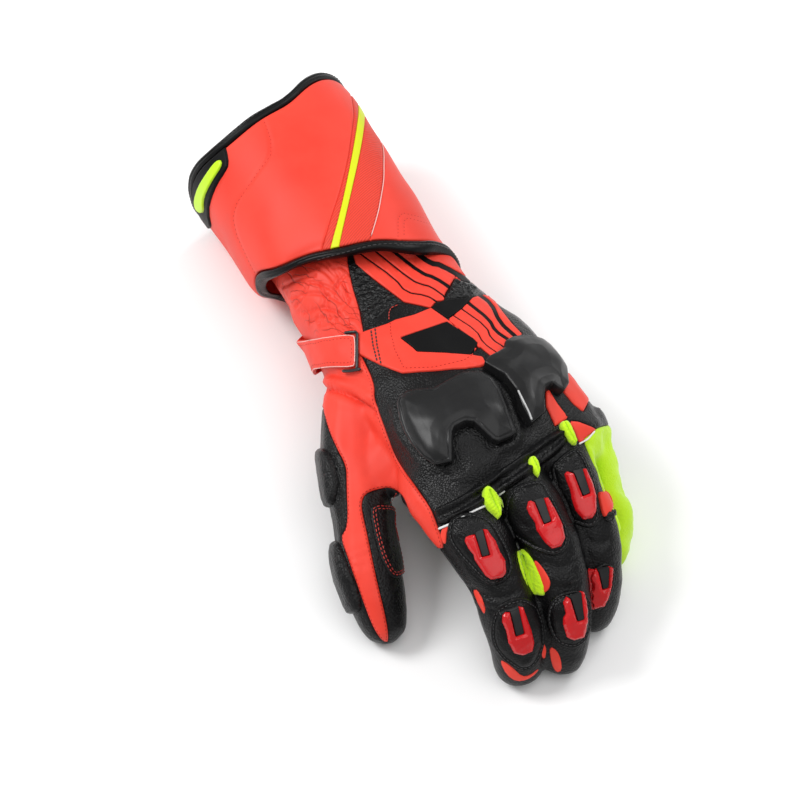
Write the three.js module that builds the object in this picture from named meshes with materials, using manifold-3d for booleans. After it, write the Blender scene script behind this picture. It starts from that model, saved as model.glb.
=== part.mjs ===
// A left-hand leather motorcycle gauntlet, lying palm down with its fingers curled to the floor.
// Units are millimetres. +X is the little-finger side, +Y runs from the fingers to the cuff, +Z is up.
// The glove is modelled from the middle of its knuckle row, and moved at the end so that the origin
// is the middle of its footprint on the floor.
import * as THREE from "three";
import { mergeVertices } from "three/addons/utils/BufferGeometryUtils.js";
import Module from "manifold-3d";

const wasm = await Module();
wasm.setup();

// Driving sizes.
const handLength = 115; // knuckle row to wrist strap
const handBreadth = 100; // across the knuckles
const knuckleHeight = 82; // floor to the top of the knuckles
const cuffLength = 69; // hem of the outer cuff to its rim, on the thumb side
const cuffBreadth = 92; // across the outer cuff
const cuffHeight = 86; // floor to the top of the outer cuff
const indexLength = 94; // each finger, from its root to its tip
const middleLength = 104;
const ringLength = 96;
const littleLength = 78;
const thumbLength = 112; // from its root inside the palm
const fingerBreadth = 26.5; // widest finger, outside the leather
const thumbBreadth = 30;

// Walls, layers and gaps.
const leatherWall = 2.2; // hand, fingers and thumb
const cuffWall = 2.4; // outer cuff
const clearance = 0.3; // between pieces that touch
const padHeight = 1.8; // raised leather pads on fingers and thumb
const sliderHeight = 2.4; // hard sliders on the finger pads
const insertHeight = 1.6; // dark inserts in the sliders
const guardHeight = 6.5; // hard knuckle guards
const guardFlange = 2.4; // thinner border of the guards
const ribHeight = 2.2; // padded ribs before the knuckles
const patchHeight = 1.2; // sewn-on patches and overlays
const strapThickness = 2.2;
const strapWidth = 19;
const ringWire = 2.6; // bar of the strap's ring
const cuffSag = 6; // how far the cuff's round would reach under the floor that flattens it
const bindingWidth = 5; // bindings on the cuff's two edges
const bindingProud = 1.3; // how far a binding stands out from the cuff wall

// Sizes of the hard and padded pieces.
const guardSpan = 50; // knuckle guard, across the hand
const sideGuardSpan = 44; // side guard, across the hand
const sliderLength = 26;
const sliderBreadth = 15.5;
const padMargin = 4.2; // pad around its slider
const thumbPadLength = 32;
const thumbPadBreadth = 20;
const panelSpan = 46; // arrow-shaped panel, across the hand
const ribLength = 58;
const ribBreadth = 5;
const gussetLength = 15;
const gussetBreadth = 8;
const tabSpan = 56; // tab on the cuff's rim, up the thumb side
const badgeSpan = 44;

// Rounding of the lofts.
const bodySides = 22;
const fingerSides = 12;
const tipRings = 2;
const cuffSteps = 6;
const handSteps = 8;
const fingerSteps = 7;
const cornerSteps = 1;
const ovalSides = 10;
const cuffSquareness = 2.25; // 2 is an ellipse, more is squarer
const handSquareness = 2.3;
const fingerSquareness = 2.2;
const webSquareness = 2;

const X = new THREE.Vector3(1, 0, 0);
const Y = new THREE.Vector3(0, 1, 0);
const Z = new THREE.Vector3(0, 0, 1);

// Smooth interpolation of every named column of a table, at a row number that may be a fraction.
function rowAt(rows, where) {
  const i = Math.min(Math.floor(where), rows.length - 2);
  const t = where - i;
  const before = rows[Math.max(i - 1, 0)];
  const after = rows[Math.min(i + 2, rows.length - 1)];
  const row = {};
  for (const key of Object.keys(rows[0])) {
    const [p0, p1, p2, p3] = [before[key], rows[i][key], rows[i + 1][key], after[key]];
    row[key] =
      p1 +
      0.5 * t * (p2 - p0 + t * (2 * p0 - 5 * p1 + 4 * p2 - p3 + t * (3 * (p1 - p2) + p3 - p0)));
  }
  return row;
}

// A closed solid through rings of points, with flat ends.
function loft(rings) {
  const n = rings[0].length;
  const points = rings.flat();
  const faces = [];
  for (let i = 0; i + 1 < rings.length; i++) {
    for (let j = 0; j < n; j++) {
      const k = (j + 1) % n;
      const [a, b, c, d] = [i * n + j, i * n + k, (i + 1) * n + k, (i + 1) * n + j];
      faces.push(a, b, c, a, c, d);
    }
  }
  for (const end of [0, rings.length - 1]) {
    const middle = rings[end].reduce((s, p) => s.clone().add(p)).multiplyScalar(1 / n);
    points.push(middle);
    for (let j = 0; j < n; j++) {
      const [a, b] = [end * n + j, end * n + ((j + 1) % n)];
      faces.push(...(end === 0 ? [b, a, points.length - 1] : [a, b, points.length - 1]));
    }
  }
  return solidOf(points, faces);
}

// A closed band through rings that come back to the first one, such as out along a wall's outer face
// and back along its inner face.
function tube(rings) {
  const n = rings[0].length;
  const faces = [];
  rings.forEach((_, i) => {
    const next = (i + 1) % rings.length;
    for (let j = 0; j < n; j++) {
      const k = (j + 1) % n;
      faces.push(i * n + j, i * n + k, next * n + k, i * n + j, next * n + k, next * n + j);
    }
  });
  return solidOf(rings.flat(), faces);
}

function solidOf(points, faces) {
  const make = (list) =>
    new wasm.Manifold(
      new wasm.Mesh({
        numProp: 3,
        vertProperties: new Float32Array(points.flatMap((p) => [p.x, p.y, p.z])),
        triVerts: new Uint32Array(list),
      }),
    );
  const made = make(faces);
  return made.volume() > 0 ? made : make(faces.slice().reverse());
}

function solidOfGeometry(geometry) {
  geometry.deleteAttribute("normal");
  geometry.deleteAttribute("uv");
  const merged = mergeVertices(geometry, 1e-4);
  return new wasm.Manifold(
    new wasm.Mesh({
      numProp: 3,
      vertProperties: merged.attributes.position.array,
      triVerts: new Uint32Array(merged.index.array),
    }),
  );
}

const joined = (solids) => solids.reduce((a, b) => a.add(b));

// One ring of a soft tube. The floor flattens it: nothing reaches under z = 0, and a ring that is
// offset inwards stays that far above the floor.
function ring({ centre, side, dorsal, halfWidth, above, below, squareness, offset, sides }) {
  const points = [];
  for (let j = 0; j < sides; j++) {
    const angle = (2 * Math.PI * j) / sides;
    const [c, s] = [Math.cos(angle), Math.sin(angle)];
    const power = 2 / squareness;
    const u = (halfWidth + offset) * Math.sign(c) * Math.abs(c) ** power;
    const v = ((s > 0 ? above : below) + offset) * Math.sign(s) * Math.abs(s) ** power;
    const p = centre.clone().addScaledVector(side, u).addScaledVector(dorsal, v);
    p.z = Math.max(p.z, -offset, 0);
    points.push(p);
  }
  return points;
}

// The outer cuff, from its hem to its rim. along is a share of the cuff's length from the hem,
// across and halfWidth are shares of its breadth, and top is a share of its height. slant is how far
// the little-finger side of the ring lies towards the fingers, and crest how far its top does; lean
// moves the crest towards the thumb side.
const cuffRows = [
  { along: 0.0, across: 0.03, halfWidth: 0.485, top: 0.95, slant: 0.58, crest: 0.19, lean: 0.9 },
  { along: 0.25, across: 0.04, halfWidth: 0.49, top: 0.985, slant: 0.46, crest: 0.18, lean: 1.0 },
  { along: 0.55, across: 0.05, halfWidth: 0.492, top: 1.0, slant: 0.24, crest: 0.16, lean: 1.0 },
  { along: 0.8, across: 0.06, halfWidth: 0.495, top: 1.0, slant: 0.04, crest: 0.15, lean: 1.0 },
  { along: 1.0, across: 0.07, halfWidth: 0.5, top: 1.0, slant: -0.08, crest: 0.145, lean: 1.0 },
];
const hemAt = 1.51 * handLength; // the hem on the thumb side, from the knuckle row

function cuffRing(where, offset, shift) {
  const row = rowAt(cuffRows, where);
  const centre = new THREE.Vector3(
    row.across * cuffBreadth,
    hemAt + row.along * cuffLength + shift,
    (row.top * cuffHeight) / 2,
  );
  const half = row.halfWidth * cuffBreadth;
  const section = { side: X, dorsal: Z, squareness: cuffSquareness, sides: bodySides };
  const size = { centre, halfWidth: half, above: centre.z, below: centre.z + cuffSag };
  const skin = ring({ ...section, ...size, offset: 0 });
  const points = ring({ ...section, ...size, offset });
  points.forEach((p, j) => {
    const acrossShare = (skin[j].x - centre.x) / half;
    const liftShare = Math.max(0, (skin[j].z - centre.z) / centre.z);
    const crest = row.crest * (1 - row.lean * acrossShare) * liftShare ** 2;
    p.y -= row.slant * half * (1 + acrossShare) + crest * cuffBreadth;
  });
  return points;
}

// The sleeve lies between its two bindings.
const bindingSeat = bindingWidth + 2 * clearance;
const lastCuffRow = cuffRows.length - 1;

function cuffFace(offset) {
  const rings = [];
  for (let i = 0; i <= cuffSteps; i++) {
    const share = i / cuffSteps;
    rings.push(cuffRing(share * lastCuffRow, offset, bindingSeat * (1 - 2 * share)));
  }
  return rings;
}

const cuffWallBetween = (inner, outer) => tube([...cuffFace(outer), ...cuffFace(inner).reverse()]);

// A rounded binding that closes an edge of the cuff. away is the way out of the cuff along Y.
const bindingRound = 0.25; // share of its width that its edge rounds off

function binding(where, away) {
  const inward = -bindingWidth * away;
  const profile = [
    { shift: inward, offset: bindingProud },
    { shift: bindingRound * inward, offset: bindingProud },
    { shift: 0, offset: 0 },
    { shift: 0, offset: -cuffWall },
    { shift: bindingRound * inward, offset: -cuffWall - bindingProud },
    { shift: inward, offset: -cuffWall - bindingProud },
  ];
  return tube(profile.map(({ shift, offset }) => cuffRing(where, offset, shift)));
}

// The hand from its finger roots to the wrist. along is a share of the hand's length from the
// knuckle row, across and halfWidth are shares of its breadth, and lift, above and below are shares
// of the knuckles' height. tilt turns the section down on the little-finger side, in degrees, and
// slant is how far that side of the section lies towards the fingers, as a share of its way across.
const handRows = [
  { along: -0.14, across: -0.01, lift: 0.63, halfWidth: 0.4, above: 0.15, below: 0.18, tilt: 9, slant: 0 },
  { along: -0.05, across: -0.01, lift: 0.66, halfWidth: 0.46, above: 0.24, below: 0.26, tilt: 9, slant: 0 },
  { along: 0.1, across: -0.02, lift: 0.67, halfWidth: 0.485, above: 0.31, below: 0.3, tilt: 9, slant: 0 },
  { along: 0.35, across: -0.01, lift: 0.65, halfWidth: 0.49, above: 0.31, below: 0.33, tilt: 8, slant: 0 },
  { along: 0.6, across: 0.01, lift: 0.6, halfWidth: 0.49, above: 0.31, below: 0.34, tilt: 6, slant: 0.02 },
  { along: 0.8, across: 0.0, lift: 0.57, halfWidth: 0.485, above: 0.31, below: 0.34, tilt: 4, slant: 0.04 },
  { along: 1.02, across: 0.02, lift: 0.54, halfWidth: 0.425, above: 0.32, below: 0.34, tilt: 2, slant: 0.1 },
  { along: 1.2, across: 0.015, lift: 0.53, halfWidth: 0.41, above: 0.34, below: 0.36, tilt: 1, slant: 0.16 },
  { along: 1.42, across: 0.03, lift: 0.53, halfWidth: 0.4, above: 0.36, below: 0.37, tilt: 0, slant: 0.26 },
];

function handRing(where, offset) {
  const row = rowAt(handRows, where);
  const tilt = THREE.MathUtils.degToRad(row.tilt);
  const centre = new THREE.Vector3(
    row.across * handBreadth,
    row.along * handLength,
    row.lift * knuckleHeight,
  );
  const points = ring({
    centre,
    side: X.clone().applyAxisAngle(Y, tilt),
    dorsal: Z.clone().applyAxisAngle(Y, tilt),
    halfWidth: row.halfWidth * handBreadth,
    above: row.above * knuckleHeight,
    below: row.below * knuckleHeight,
    squareness: handSquareness,
    offset,
    sides: bodySides,
  });
  for (const p of points) p.y -= row.slant * (p.x - centre.x);
  return points;
}

// Inside the outer cuff the hand's leather widens to the cuff's inner face, where it is sewn in.
const seatFrom = 1.5; // rows of the cuff's table
const seatTo = 2.2;
const seatGap = 2.5 * clearance; // wide enough for the facets of two different rings

function handLoft(offset, openEnd = false) {
  const rings = [];
  for (let i = 0; i <= handSteps; i++) {
    rings.push(handRing((i * (handRows.length - 1)) / handSteps, offset));
  }
  for (const p of rings[0]) p.y -= offset;
  const seat = offset - cuffWall - seatGap;
  rings.push(cuffRing(seatFrom, seat, 0), cuffRing(seatTo, seat, 0));
  if (openEnd) rings.push(cuffRing(seatTo, seat, leatherWall));
  return loft(rings);
}

// Fingers and thumb. reach and drift are the way towards the fingertips and towards the little
// finger, and lift the height over the floor, all as shares of the finger's length from its root;
// width and height are shares of its breadth.
const indexRows = [
  { reach: -0.12, drift: 0.01, lift: 0.63, width: 0.94, height: 0.88 },
  { reach: 0.13, drift: 0.0, lift: 0.596, width: 1.0, height: 0.98 },
  { reach: 0.316, drift: -0.03, lift: 0.521, width: 1.03, height: 1.02 },
  { reach: 0.495, drift: -0.054, lift: 0.415, width: 1.0, height: 0.98 },
  { reach: 0.621, drift: -0.072, lift: 0.309, width: 0.99, height: 0.97 },
  { reach: 0.699, drift: -0.085, lift: 0.213, width: 0.94, height: 0.9 },
  { reach: 0.735, drift: -0.096, lift: 0.112, width: 0.88, height: 0.82 },
];
const middleRows = [
  { reach: -0.11, drift: 0.0, lift: 0.6, width: 0.94, height: 0.88 },
  { reach: 0.117, drift: 0.0, lift: 0.577, width: 1.0, height: 0.98 },
  { reach: 0.306, drift: 0.012, lift: 0.5, width: 1.03, height: 1.03 },
  { reach: 0.473, drift: -0.023, lift: 0.404, width: 1.0, height: 0.98 },
  { reach: 0.602, drift: -0.064, lift: 0.298, width: 0.98, height: 0.97 },
  { reach: 0.681, drift: -0.108, lift: 0.192, width: 0.92, height: 0.9 },
  { reach: 0.72, drift: -0.142, lift: 0.1, width: 0.86, height: 0.84 },
];
const ringRows = [
  { reach: -0.12, drift: 0.0, lift: 0.62, width: 0.92, height: 0.86 },
  { reach: 0.071, drift: 0.0, lift: 0.594, width: 0.98, height: 0.96 },
  { reach: 0.275, drift: -0.006, lift: 0.479, width: 0.99, height: 1.0 },
  { reach: 0.455, drift: -0.049, lift: 0.365, width: 0.96, height: 0.96 },
  { reach: 0.577, drift: -0.098, lift: 0.26, width: 0.94, height: 0.94 },
  { reach: 0.639, drift: -0.147, lift: 0.167, width: 0.9, height: 0.88 },
  { reach: 0.663, drift: -0.174, lift: 0.108, width: 0.85, height: 0.82 },
];
const littleRows = [
  { reach: -0.28, drift: -0.09, lift: 0.64, width: 0.8, height: 0.86 },
  { reach: -0.04, drift: -0.075, lift: 0.564, width: 0.86, height: 0.95 },
  { reach: 0.172, drift: -0.1, lift: 0.455, width: 0.87, height: 0.97 },
  { reach: 0.34, drift: -0.17, lift: 0.34, width: 0.84, height: 0.93 },
  { reach: 0.45, drift: -0.24, lift: 0.22, width: 0.8, height: 0.88 },
  { reach: 0.5, drift: -0.28, lift: 0.131, width: 0.76, height: 0.8 },
];
const thumbRows = [
  { reach: -0.134, drift: 0.0, lift: 0.4, width: 1.1, height: 1.1 },
  { reach: -0.01, drift: -0.1, lift: 0.38, width: 1.2, height: 1.12 },
  { reach: 0.116, drift: -0.195, lift: 0.339, width: 1.17, height: 1.1 },
  { reach: 0.318, drift: -0.295, lift: 0.286, width: 1.07, height: 1.08 },
  { reach: 0.463, drift: -0.358, lift: 0.232, width: 1.03, height: 1.02 },
  { reach: 0.6, drift: -0.432, lift: 0.179, width: 0.96, height: 0.98 },
  { reach: 0.7, drift: -0.466, lift: 0.134, width: 0.86, height: 0.88 },
  { reach: 0.757, drift: -0.48, lift: 0.099, width: 0.76, height: 0.76 },
];
const digits = {
  index: { rows: indexRows, length: indexLength, breadth: fingerBreadth, root: [-0.384, 0.0] },
  middle: { rows: middleRows, length: middleLength, breadth: fingerBreadth, root: [-0.124, 0.0] },
  ring: { rows: ringRows, length: ringLength, breadth: fingerBreadth, root: [0.146, 0.0] },
  little: { rows: littleRows, length: littleLength, breadth: fingerBreadth, root: [0.455, 0.0] },
  thumb: { rows: thumbRows, length: thumbLength, breadth: thumbBreadth, root: [-0.34, 0.6] },
};

// Centre, half sizes and directions of a digit at a row number of its table.
function station(digit, where) {
  const place = (at) => {
    const row = rowAt(digit.rows, at);
    return new THREE.Vector3(
      digit.root[0] * handBreadth + row.drift * digit.length,
      digit.root[1] * handLength - row.reach * digit.length,
      row.lift * digit.length,
    );
  };
  const last = digit.rows.length - 1;
  const nudge = 0.05;
  const next = place(Math.min(where + nudge, last));
  const ahead = next.sub(place(Math.max(where - nudge, 0))).normalize();
  const side = new THREE.Vector3().crossVectors(Z, ahead).normalize();
  const row = rowAt(digit.rows, where);
  return {
    centre: place(where),
    ahead,
    side,
    dorsal: new THREE.Vector3().crossVectors(ahead, side).normalize(),
    halfWidth: (row.width * digit.breadth) / 2,
    halfHeight: (row.height * digit.breadth) / 2,
  };
}

const tipRound = 2.35; // steps in a fingertip's quarter turn, the last of which stays flat

function digitLoft(digit, offset, from = 0) {
  const last = digit.rows.length - 1;
  const rings = [];
  const ringAt = (s, shrink, advance) =>
    ring({
      centre: s.centre.clone().addScaledVector(s.ahead, advance),
      side: s.side,
      dorsal: s.dorsal,
      halfWidth: (s.halfWidth + offset) * shrink - offset,
      above: (s.halfHeight + offset) * shrink - offset,
      below: (s.halfHeight + offset) * shrink - offset,
      squareness: fingerSquareness,
      offset,
      sides: fingerSides,
    });
  for (let i = 0; i <= fingerSteps; i++) {
    rings.push(ringAt(station(digit, from + ((last - from) * i) / fingerSteps), 1, 0));
  }
  const tip = station(digit, last);
  for (let i = 1; i <= tipRings; i++) {
    const turn = (i / tipRound) * (Math.PI / 2);
    rings.push(ringAt(tip, Math.cos(turn), (tip.halfHeight + offset) * Math.sin(turn)));
  }
  return loft(rings);
}

// The web between thumb and palm: across and lift are shares as in the hand's table, along is the
// middle of its thickness there, and breadth and depth are half sizes as shares of the thumb's breadth.
const webRows = [
  { across: -0.4, along: 0.37, lift: 0.56, breadth: 0.62, depth: 0.42 },
  { across: -0.53, along: 0.35, lift: 0.52, breadth: 0.55, depth: 0.36 },
  { across: -0.64, along: 0.34, lift: 0.44, breadth: 0.5, depth: 0.36 },
  { across: -0.71, along: 0.33, lift: 0.36, breadth: 0.45, depth: 0.36 },
];

const webSteps = 5;
const webUp = new THREE.Vector3(-0.45, 0, 0.9);

function webLoft(offset) {
  const rings = [];
  for (let i = 0; i <= webSteps; i++) {
    const row = rowAt(webRows, (i * (webRows.length - 1)) / webSteps);
    rings.push(
      ring({
        centre: new THREE.Vector3(
          row.across * handBreadth,
          row.along * handLength,
          row.lift * knuckleHeight,
        ),
        side: Y,
        dorsal: webUp,
        halfWidth: row.breadth * thumbBreadth,
        above: row.depth * thumbBreadth,
        below: row.depth * thumbBreadth,
        squareness: webSquareness,
        offset,
        sides: fingerSides,
      }),
    );
  }
  return loft(rings);
}

// The little finger is a stall of its own, sewn on past this row of its table.
const littleSeam = 0.75;
const handDigits = ["index", "middle", "ring", "thumb"];

function handSolid(offset) {
  const roots = handDigits.map((name) => digitLoft(digits[name], offset));
  return joined([handLoft(offset), webLoft(offset), ...roots]);
}

const grown = new Map();
function handGrown(offset) {
  if (!grown.has(offset)) {
    grown.set(offset, joined([handSolid(offset), digitLoft(digits.little, offset)]));
  }
  return grown.get(offset);
}

// Overlays: pieces that lie on the leather and follow its shape.

// A local frame: u across the glove, v towards the cuff, w out of the surface. roll turns it about
// the glove's length, pitch about its breadth and turn about w, all in degrees.
function frameAt(place, { roll = 0, pitch = 0, turn = 0 }) {
  const rad = THREE.MathUtils.degToRad;
  return new THREE.Matrix4()
    .makeTranslation(place.x, place.y, place.z)
    .multiply(new THREE.Matrix4().makeRotationY(rad(roll)))
    .multiply(new THREE.Matrix4().makeRotationX(rad(pitch)))
    .multiply(new THREE.Matrix4().makeRotationZ(rad(turn)));
}

function frameOnHand({ across, along, lift, ...turns }) {
  const place = new THREE.Vector3(across * handBreadth, along * handLength, lift * knuckleHeight);
  return frameAt(place, turns);
}

// A frame on a digit's surface, at a row number of its table and rolled about its axis.
function frameOnDigit(digit, where, roll) {
  const s = station(digit, where);
  const turn = THREE.MathUtils.degToRad(roll);
  const reach = Math.hypot(s.halfHeight * Math.cos(turn), s.halfWidth * Math.sin(turn));
  return new THREE.Matrix4()
    .makeTranslation(s.centre.x, s.centre.y, s.centre.z)
    .multiply(new THREE.Matrix4().makeBasis(s.side, s.ahead.clone().negate(), s.dorsal))
    .multiply(new THREE.Matrix4().makeRotationY(turn))
    .multiply(new THREE.Matrix4().makeTranslation(0, 0, reach));
}

// An outline with rounded corners. u and v are shares of span, and round is the share of each
// neighbouring side that a corner takes.
function outline(rows, span, stretch = span) {
  const at = (i) => {
    const row = rows[(i + rows.length) % rows.length];
    return new THREE.Vector2(row.u * span, row.v * stretch);
  };
  const shape = new THREE.Shape();
  rows.forEach((row, i) => {
    const corner = at(i);
    const round = row.round ?? 0;
    const enter = corner.clone().lerp(at(i - 1), round);
    const leave = corner.clone().lerp(at(i + 1), round);
    if (i === 0) shape.moveTo(enter.x, enter.y);
    else shape.lineTo(enter.x, enter.y);
    if (round > 0) shape.quadraticCurveTo(corner.x, corner.y, leave.x, leave.y);
  });
  shape.closePath();
  return shape;
}

// The other half of an outline that is symmetrical across u = 0.
const otherHalf = (rows) =>
  rows.filter((row) => row.u !== 0).map((row) => ({ ...row, u: -row.u })).reverse();
const mirrored = (rows) => [...rows, ...otherHalf(rows)];

// An oval outline with straight sides.
function oval(length, breadth) {
  const shape = new THREE.Shape();
  for (let i = 0; i < ovalSides; i++) {
    const angle = ((i + 0.5) / ovalSides) * 2 * Math.PI;
    const [x, y] = [(Math.cos(angle) * breadth) / 2, (Math.sin(angle) * length) / 2];
    if (i === 0) shape.moveTo(x, y);
    else shape.lineTo(x, y);
  }
  shape.closePath();
  return shape;
}

// A prism through the surface at a frame, from below it to above it.
const prismBelow = 9;
const prismAbove = 12;

function prism(shape, frame, below = prismBelow) {
  const geometry = new THREE.ExtrudeGeometry(shape, {
    depth: below + prismAbove,
    bevelEnabled: false,
    curveSegments: cornerSteps,
  });
  geometry.translate(0, 0, -below);
  return solidOfGeometry(geometry.applyMatrix4(frame));
}

// The layer of a prism between two heights over a surface.
function layer(body, grow, bottom, top) {
  return grow(top).intersect(body).subtract(grow(bottom));
}

const material = (colour, roughness, metalness = 0) =>
  new THREE.MeshStandardMaterial({ color: colour, roughness, metalness });
const redLeather = material(0xff3b2a, 0.55);
const blackLeather = material(0x17181a, 0.6);
const neonLeather = material(0xb4ee1c, 0.6);
const hardBlack = material(0x2a2b2d, 0.4);
const hardRed = material(0xd8222a, 0.25);

const glove = new THREE.Group();
function addMesh(name, solid, look) {
  const { vertProperties, triVerts } = solid.getMesh();
  const geometry = new THREE.BufferGeometry();
  geometry.setAttribute("position", new THREE.Float32BufferAttribute(vertProperties, 3));
  geometry.setIndex(Array.from(triVerts));
  const mesh = new THREE.Mesh(geometry, look);
  mesh.name = name;
  glove.add(mesh);
}

// The soft hollow pieces.
const handCavity = joined([
  handLoft(-leatherWall, true),
  webLoft(-leatherWall),
  ...handDigits.map((name) => digitLoft(digits[name], -leatherWall)),
  digitLoft(digits.little, -leatherWall),
]);
addMesh("hand_shell", handSolid(0).subtract(handCavity), blackLeather);

const littleStall = digitLoft(digits.little, 0, littleSeam)
  .subtract(handSolid(clearance))
  .subtract(digitLoft(digits.little, -leatherWall));
addMesh("little_finger_stall", littleStall, neonLeather);

addMesh("cuff_sleeve", cuffWallBetween(-cuffWall, 0), redLeather);
addMesh("cuff_hem_binding", binding(0, -1), blackLeather);
addMesh("cuff_rim_binding", binding(lastCuffRow, 1), blackLeather);

// Tab and badge on the thumb side of the rim.
const tabFrame = frameOnHand({ across: -0.42, along: 1.97, lift: 0.63, roll: -72 });
const tabDepth = 20;
const tabRows = [
  { u: -0.5, v: -0.04 },
  { u: -0.1, v: -0.1 },
  { u: 0.42, v: -0.13 },
  { u: 0.5, v: -0.02 },
  { u: 0.48, v: 0.5 },
  { u: -0.5, v: 0.5 },
];
const badgeRows = [
  { u: -0.5, v: 0.0 },
  { u: 0.0, v: -0.04 },
  { u: 0.5, v: -0.1 },
  { u: 0.5, v: 0.0 },
  { u: 0.0, v: 0.06 },
  { u: -0.5, v: 0.1 },
];
const onLeather = clearance;
const onPatch = onLeather + patchHeight + clearance;
const tabBody = prism(outline(tabRows, tabSpan), tabFrame, tabDepth);
const badgeBody = prism(outline(badgeRows, badgeSpan), tabFrame, tabDepth);
const tabLayer = cuffWallBetween(onLeather, onLeather + patchHeight);
const badgeLayer = cuffWallBetween(onPatch, onPatch + patchHeight);
addMesh("cuff_tab", tabLayer.intersect(tabBody), blackLeather);
addMesh("cuff_badge", badgeLayer.intersect(badgeBody), neonLeather);

// The wrist strap slopes from the back of the hand down the thumb side towards the cuff, and ends
// under the palm. Its ring lies across its upper end, against the arrow-shaped panel.
const strapSlope = 40; // degrees
const strapFoot = -0.1 * handBreadth; // where its lower end lies, under the palm
const strapPlace = new THREE.Vector3(-0.42 * handBreadth, 0.87 * handLength, 0.72 * knuckleHeight);
const ringTurns = { roll: -30, pitch: 8, turn: -33 };
const ringFrame = frameOnHand({ across: -0.365, along: 0.77, lift: 0.82, ...ringTurns });

const far = 2 * handBreadth; // past every piece

// A box in a frame. Each range is its low and high end; one that isn't given goes past every piece.
function boxIn(frame, { u = [-far, far], v = [-far, far], w = [-far, far] }) {
  const geometry = new THREE.BoxGeometry(u[1] - u[0], v[1] - v[0], w[1] - w[0]);
  geometry.translate((u[0] + u[1]) / 2, (v[0] + v[1]) / 2, (w[0] + w[1]) / 2);
  return solidOfGeometry(geometry.applyMatrix4(frame));
}

const beside = ringWire / 2 + clearance;
const strapFrame = frameAt(strapPlace, { pitch: strapSlope });
const strapSlab = boxIn(strapFrame, { v: [-strapWidth / 2, strapWidth / 2] });
const beforeRing = boxIn(ringFrame, { u: [-far, -beside] });
const afterRing = boxIn(ringFrame, { u: [beside, far] });
const besideFoot = boxIn(new THREE.Matrix4(), { u: [-far, strapFoot] });
const strapBody = strapSlab.intersect(beforeRing).intersect(besideFoot);
const strap = layer(strapBody, handLoft, onLeather, onLeather + strapThickness);
addMesh("wrist_strap", strap, redLeather);

const bar = outline(
  mirrored([
    { u: 0.5, v: -0.5 },
    { u: 0.5, v: 0.5 },
  ]),
  ringWire,
  strapWidth + ringWire,
);
const ringBar = layer(prism(bar, ringFrame), handGrown, onLeather, onLeather + ringWire);
addMesh("strap_ring", ringBar, hardBlack);

// The arrow-shaped panel that the strap is sewn to.
const panelFrame = frameOnHand({ across: -0.114, along: 0.611, lift: 0.897, roll: -4, pitch: -8 });
const panelRows = [
  { u: -0.42, v: 0.55, round: 0.1 },
  { u: -0.1, v: 0.46 },
  { u: 0.37, v: 0.38, round: 0.15 },
  { u: 0.43, v: 0.1 },
  { u: 0.45, v: -0.5, round: 0.15 },
  { u: 0.38, v: -0.64, round: 0.4 },
  { u: 0.2, v: -0.58 },
  { u: -0.35, v: -0.2 },
  { u: -0.47, v: 0.08 },
  { u: -0.6, v: 0.38, round: 0.1 },
];
const deep = 2 * prismBelow; // under pieces so wide that the hand curves away beneath them
const panelBody = prism(outline(panelRows, panelSpan), panelFrame, deep).intersect(afterRing);
const panel = layer(panelBody, handGrown, onLeather, onLeather + patchHeight);
addMesh("strap_anchor_panel", panel, redLeather);

// Hard knuckle guards: a thin flange, and a smaller raised shell on it.
const guardLevels = [
  { share: 1, height: guardFlange },
  { share: 0.9, height: guardHeight },
];

function guard(rows, span, frame) {
  const levels = guardLevels.map(({ share, height }) => {
    const body = prism(outline(rows, share * span), frame, deep);
    return layer(body, handGrown, onLeather, onLeather + height);
  });
  return joined(levels);
}

const guardFrame = frameOnHand({ across: -0.225, along: 0.17, lift: 0.94, roll: -12, pitch: 2 });
const guardRows = [
  { u: -0.42, v: 0.42, round: 0.3 },
  { u: -0.26, v: 0.5 },
  { u: -0.02, v: 0.37 },
  { u: 0.3, v: 0.38 },
  { u: 0.45, v: 0.3 },
  { u: 0.5, v: 0.12 },
  { u: 0.43, v: -0.16 },
  { u: 0.35, v: -0.44, round: 0.25 },
  { u: 0.15, v: -0.45, round: 0.25 },
  { u: 0.06, v: -0.15 },
  { u: -0.12, v: -0.11 },
  { u: -0.3, v: -0.4, round: 0.25 },
  { u: -0.46, v: -0.3, round: 0.25 },
  { u: -0.5, v: 0.05 },
];
addMesh("knuckle_guard", guard(guardRows, guardSpan, guardFrame), hardBlack);

const sideGuardFrame = frameOnHand({ across: 0.22, along: 0.23, lift: 0.89, roll: 22, pitch: 1 });
const sideGuardRows = [
  { u: -0.34, v: 0.32 },
  { u: -0.2, v: 0.39 },
  { u: 0.0, v: 0.41 },
  { u: 0.12, v: 0.53 },
  { u: 0.38, v: 0.53 },
  { u: 0.56, v: 0.36 },
  { u: 0.6, v: 0.05 },
  { u: 0.48, v: -0.22 },
  { u: 0.2, v: -0.22 },
  { u: 0.06, v: -0.25 },
  { u: -0.1, v: -0.5 },
  { u: -0.3, v: -0.54 },
  { u: -0.27, v: -0.14 },
  { u: -0.27, v: 0.08 },
];
addMesh("knuckle_guard_side", guard(sideGuardRows, sideGuardSpan, sideGuardFrame), hardBlack);

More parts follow.
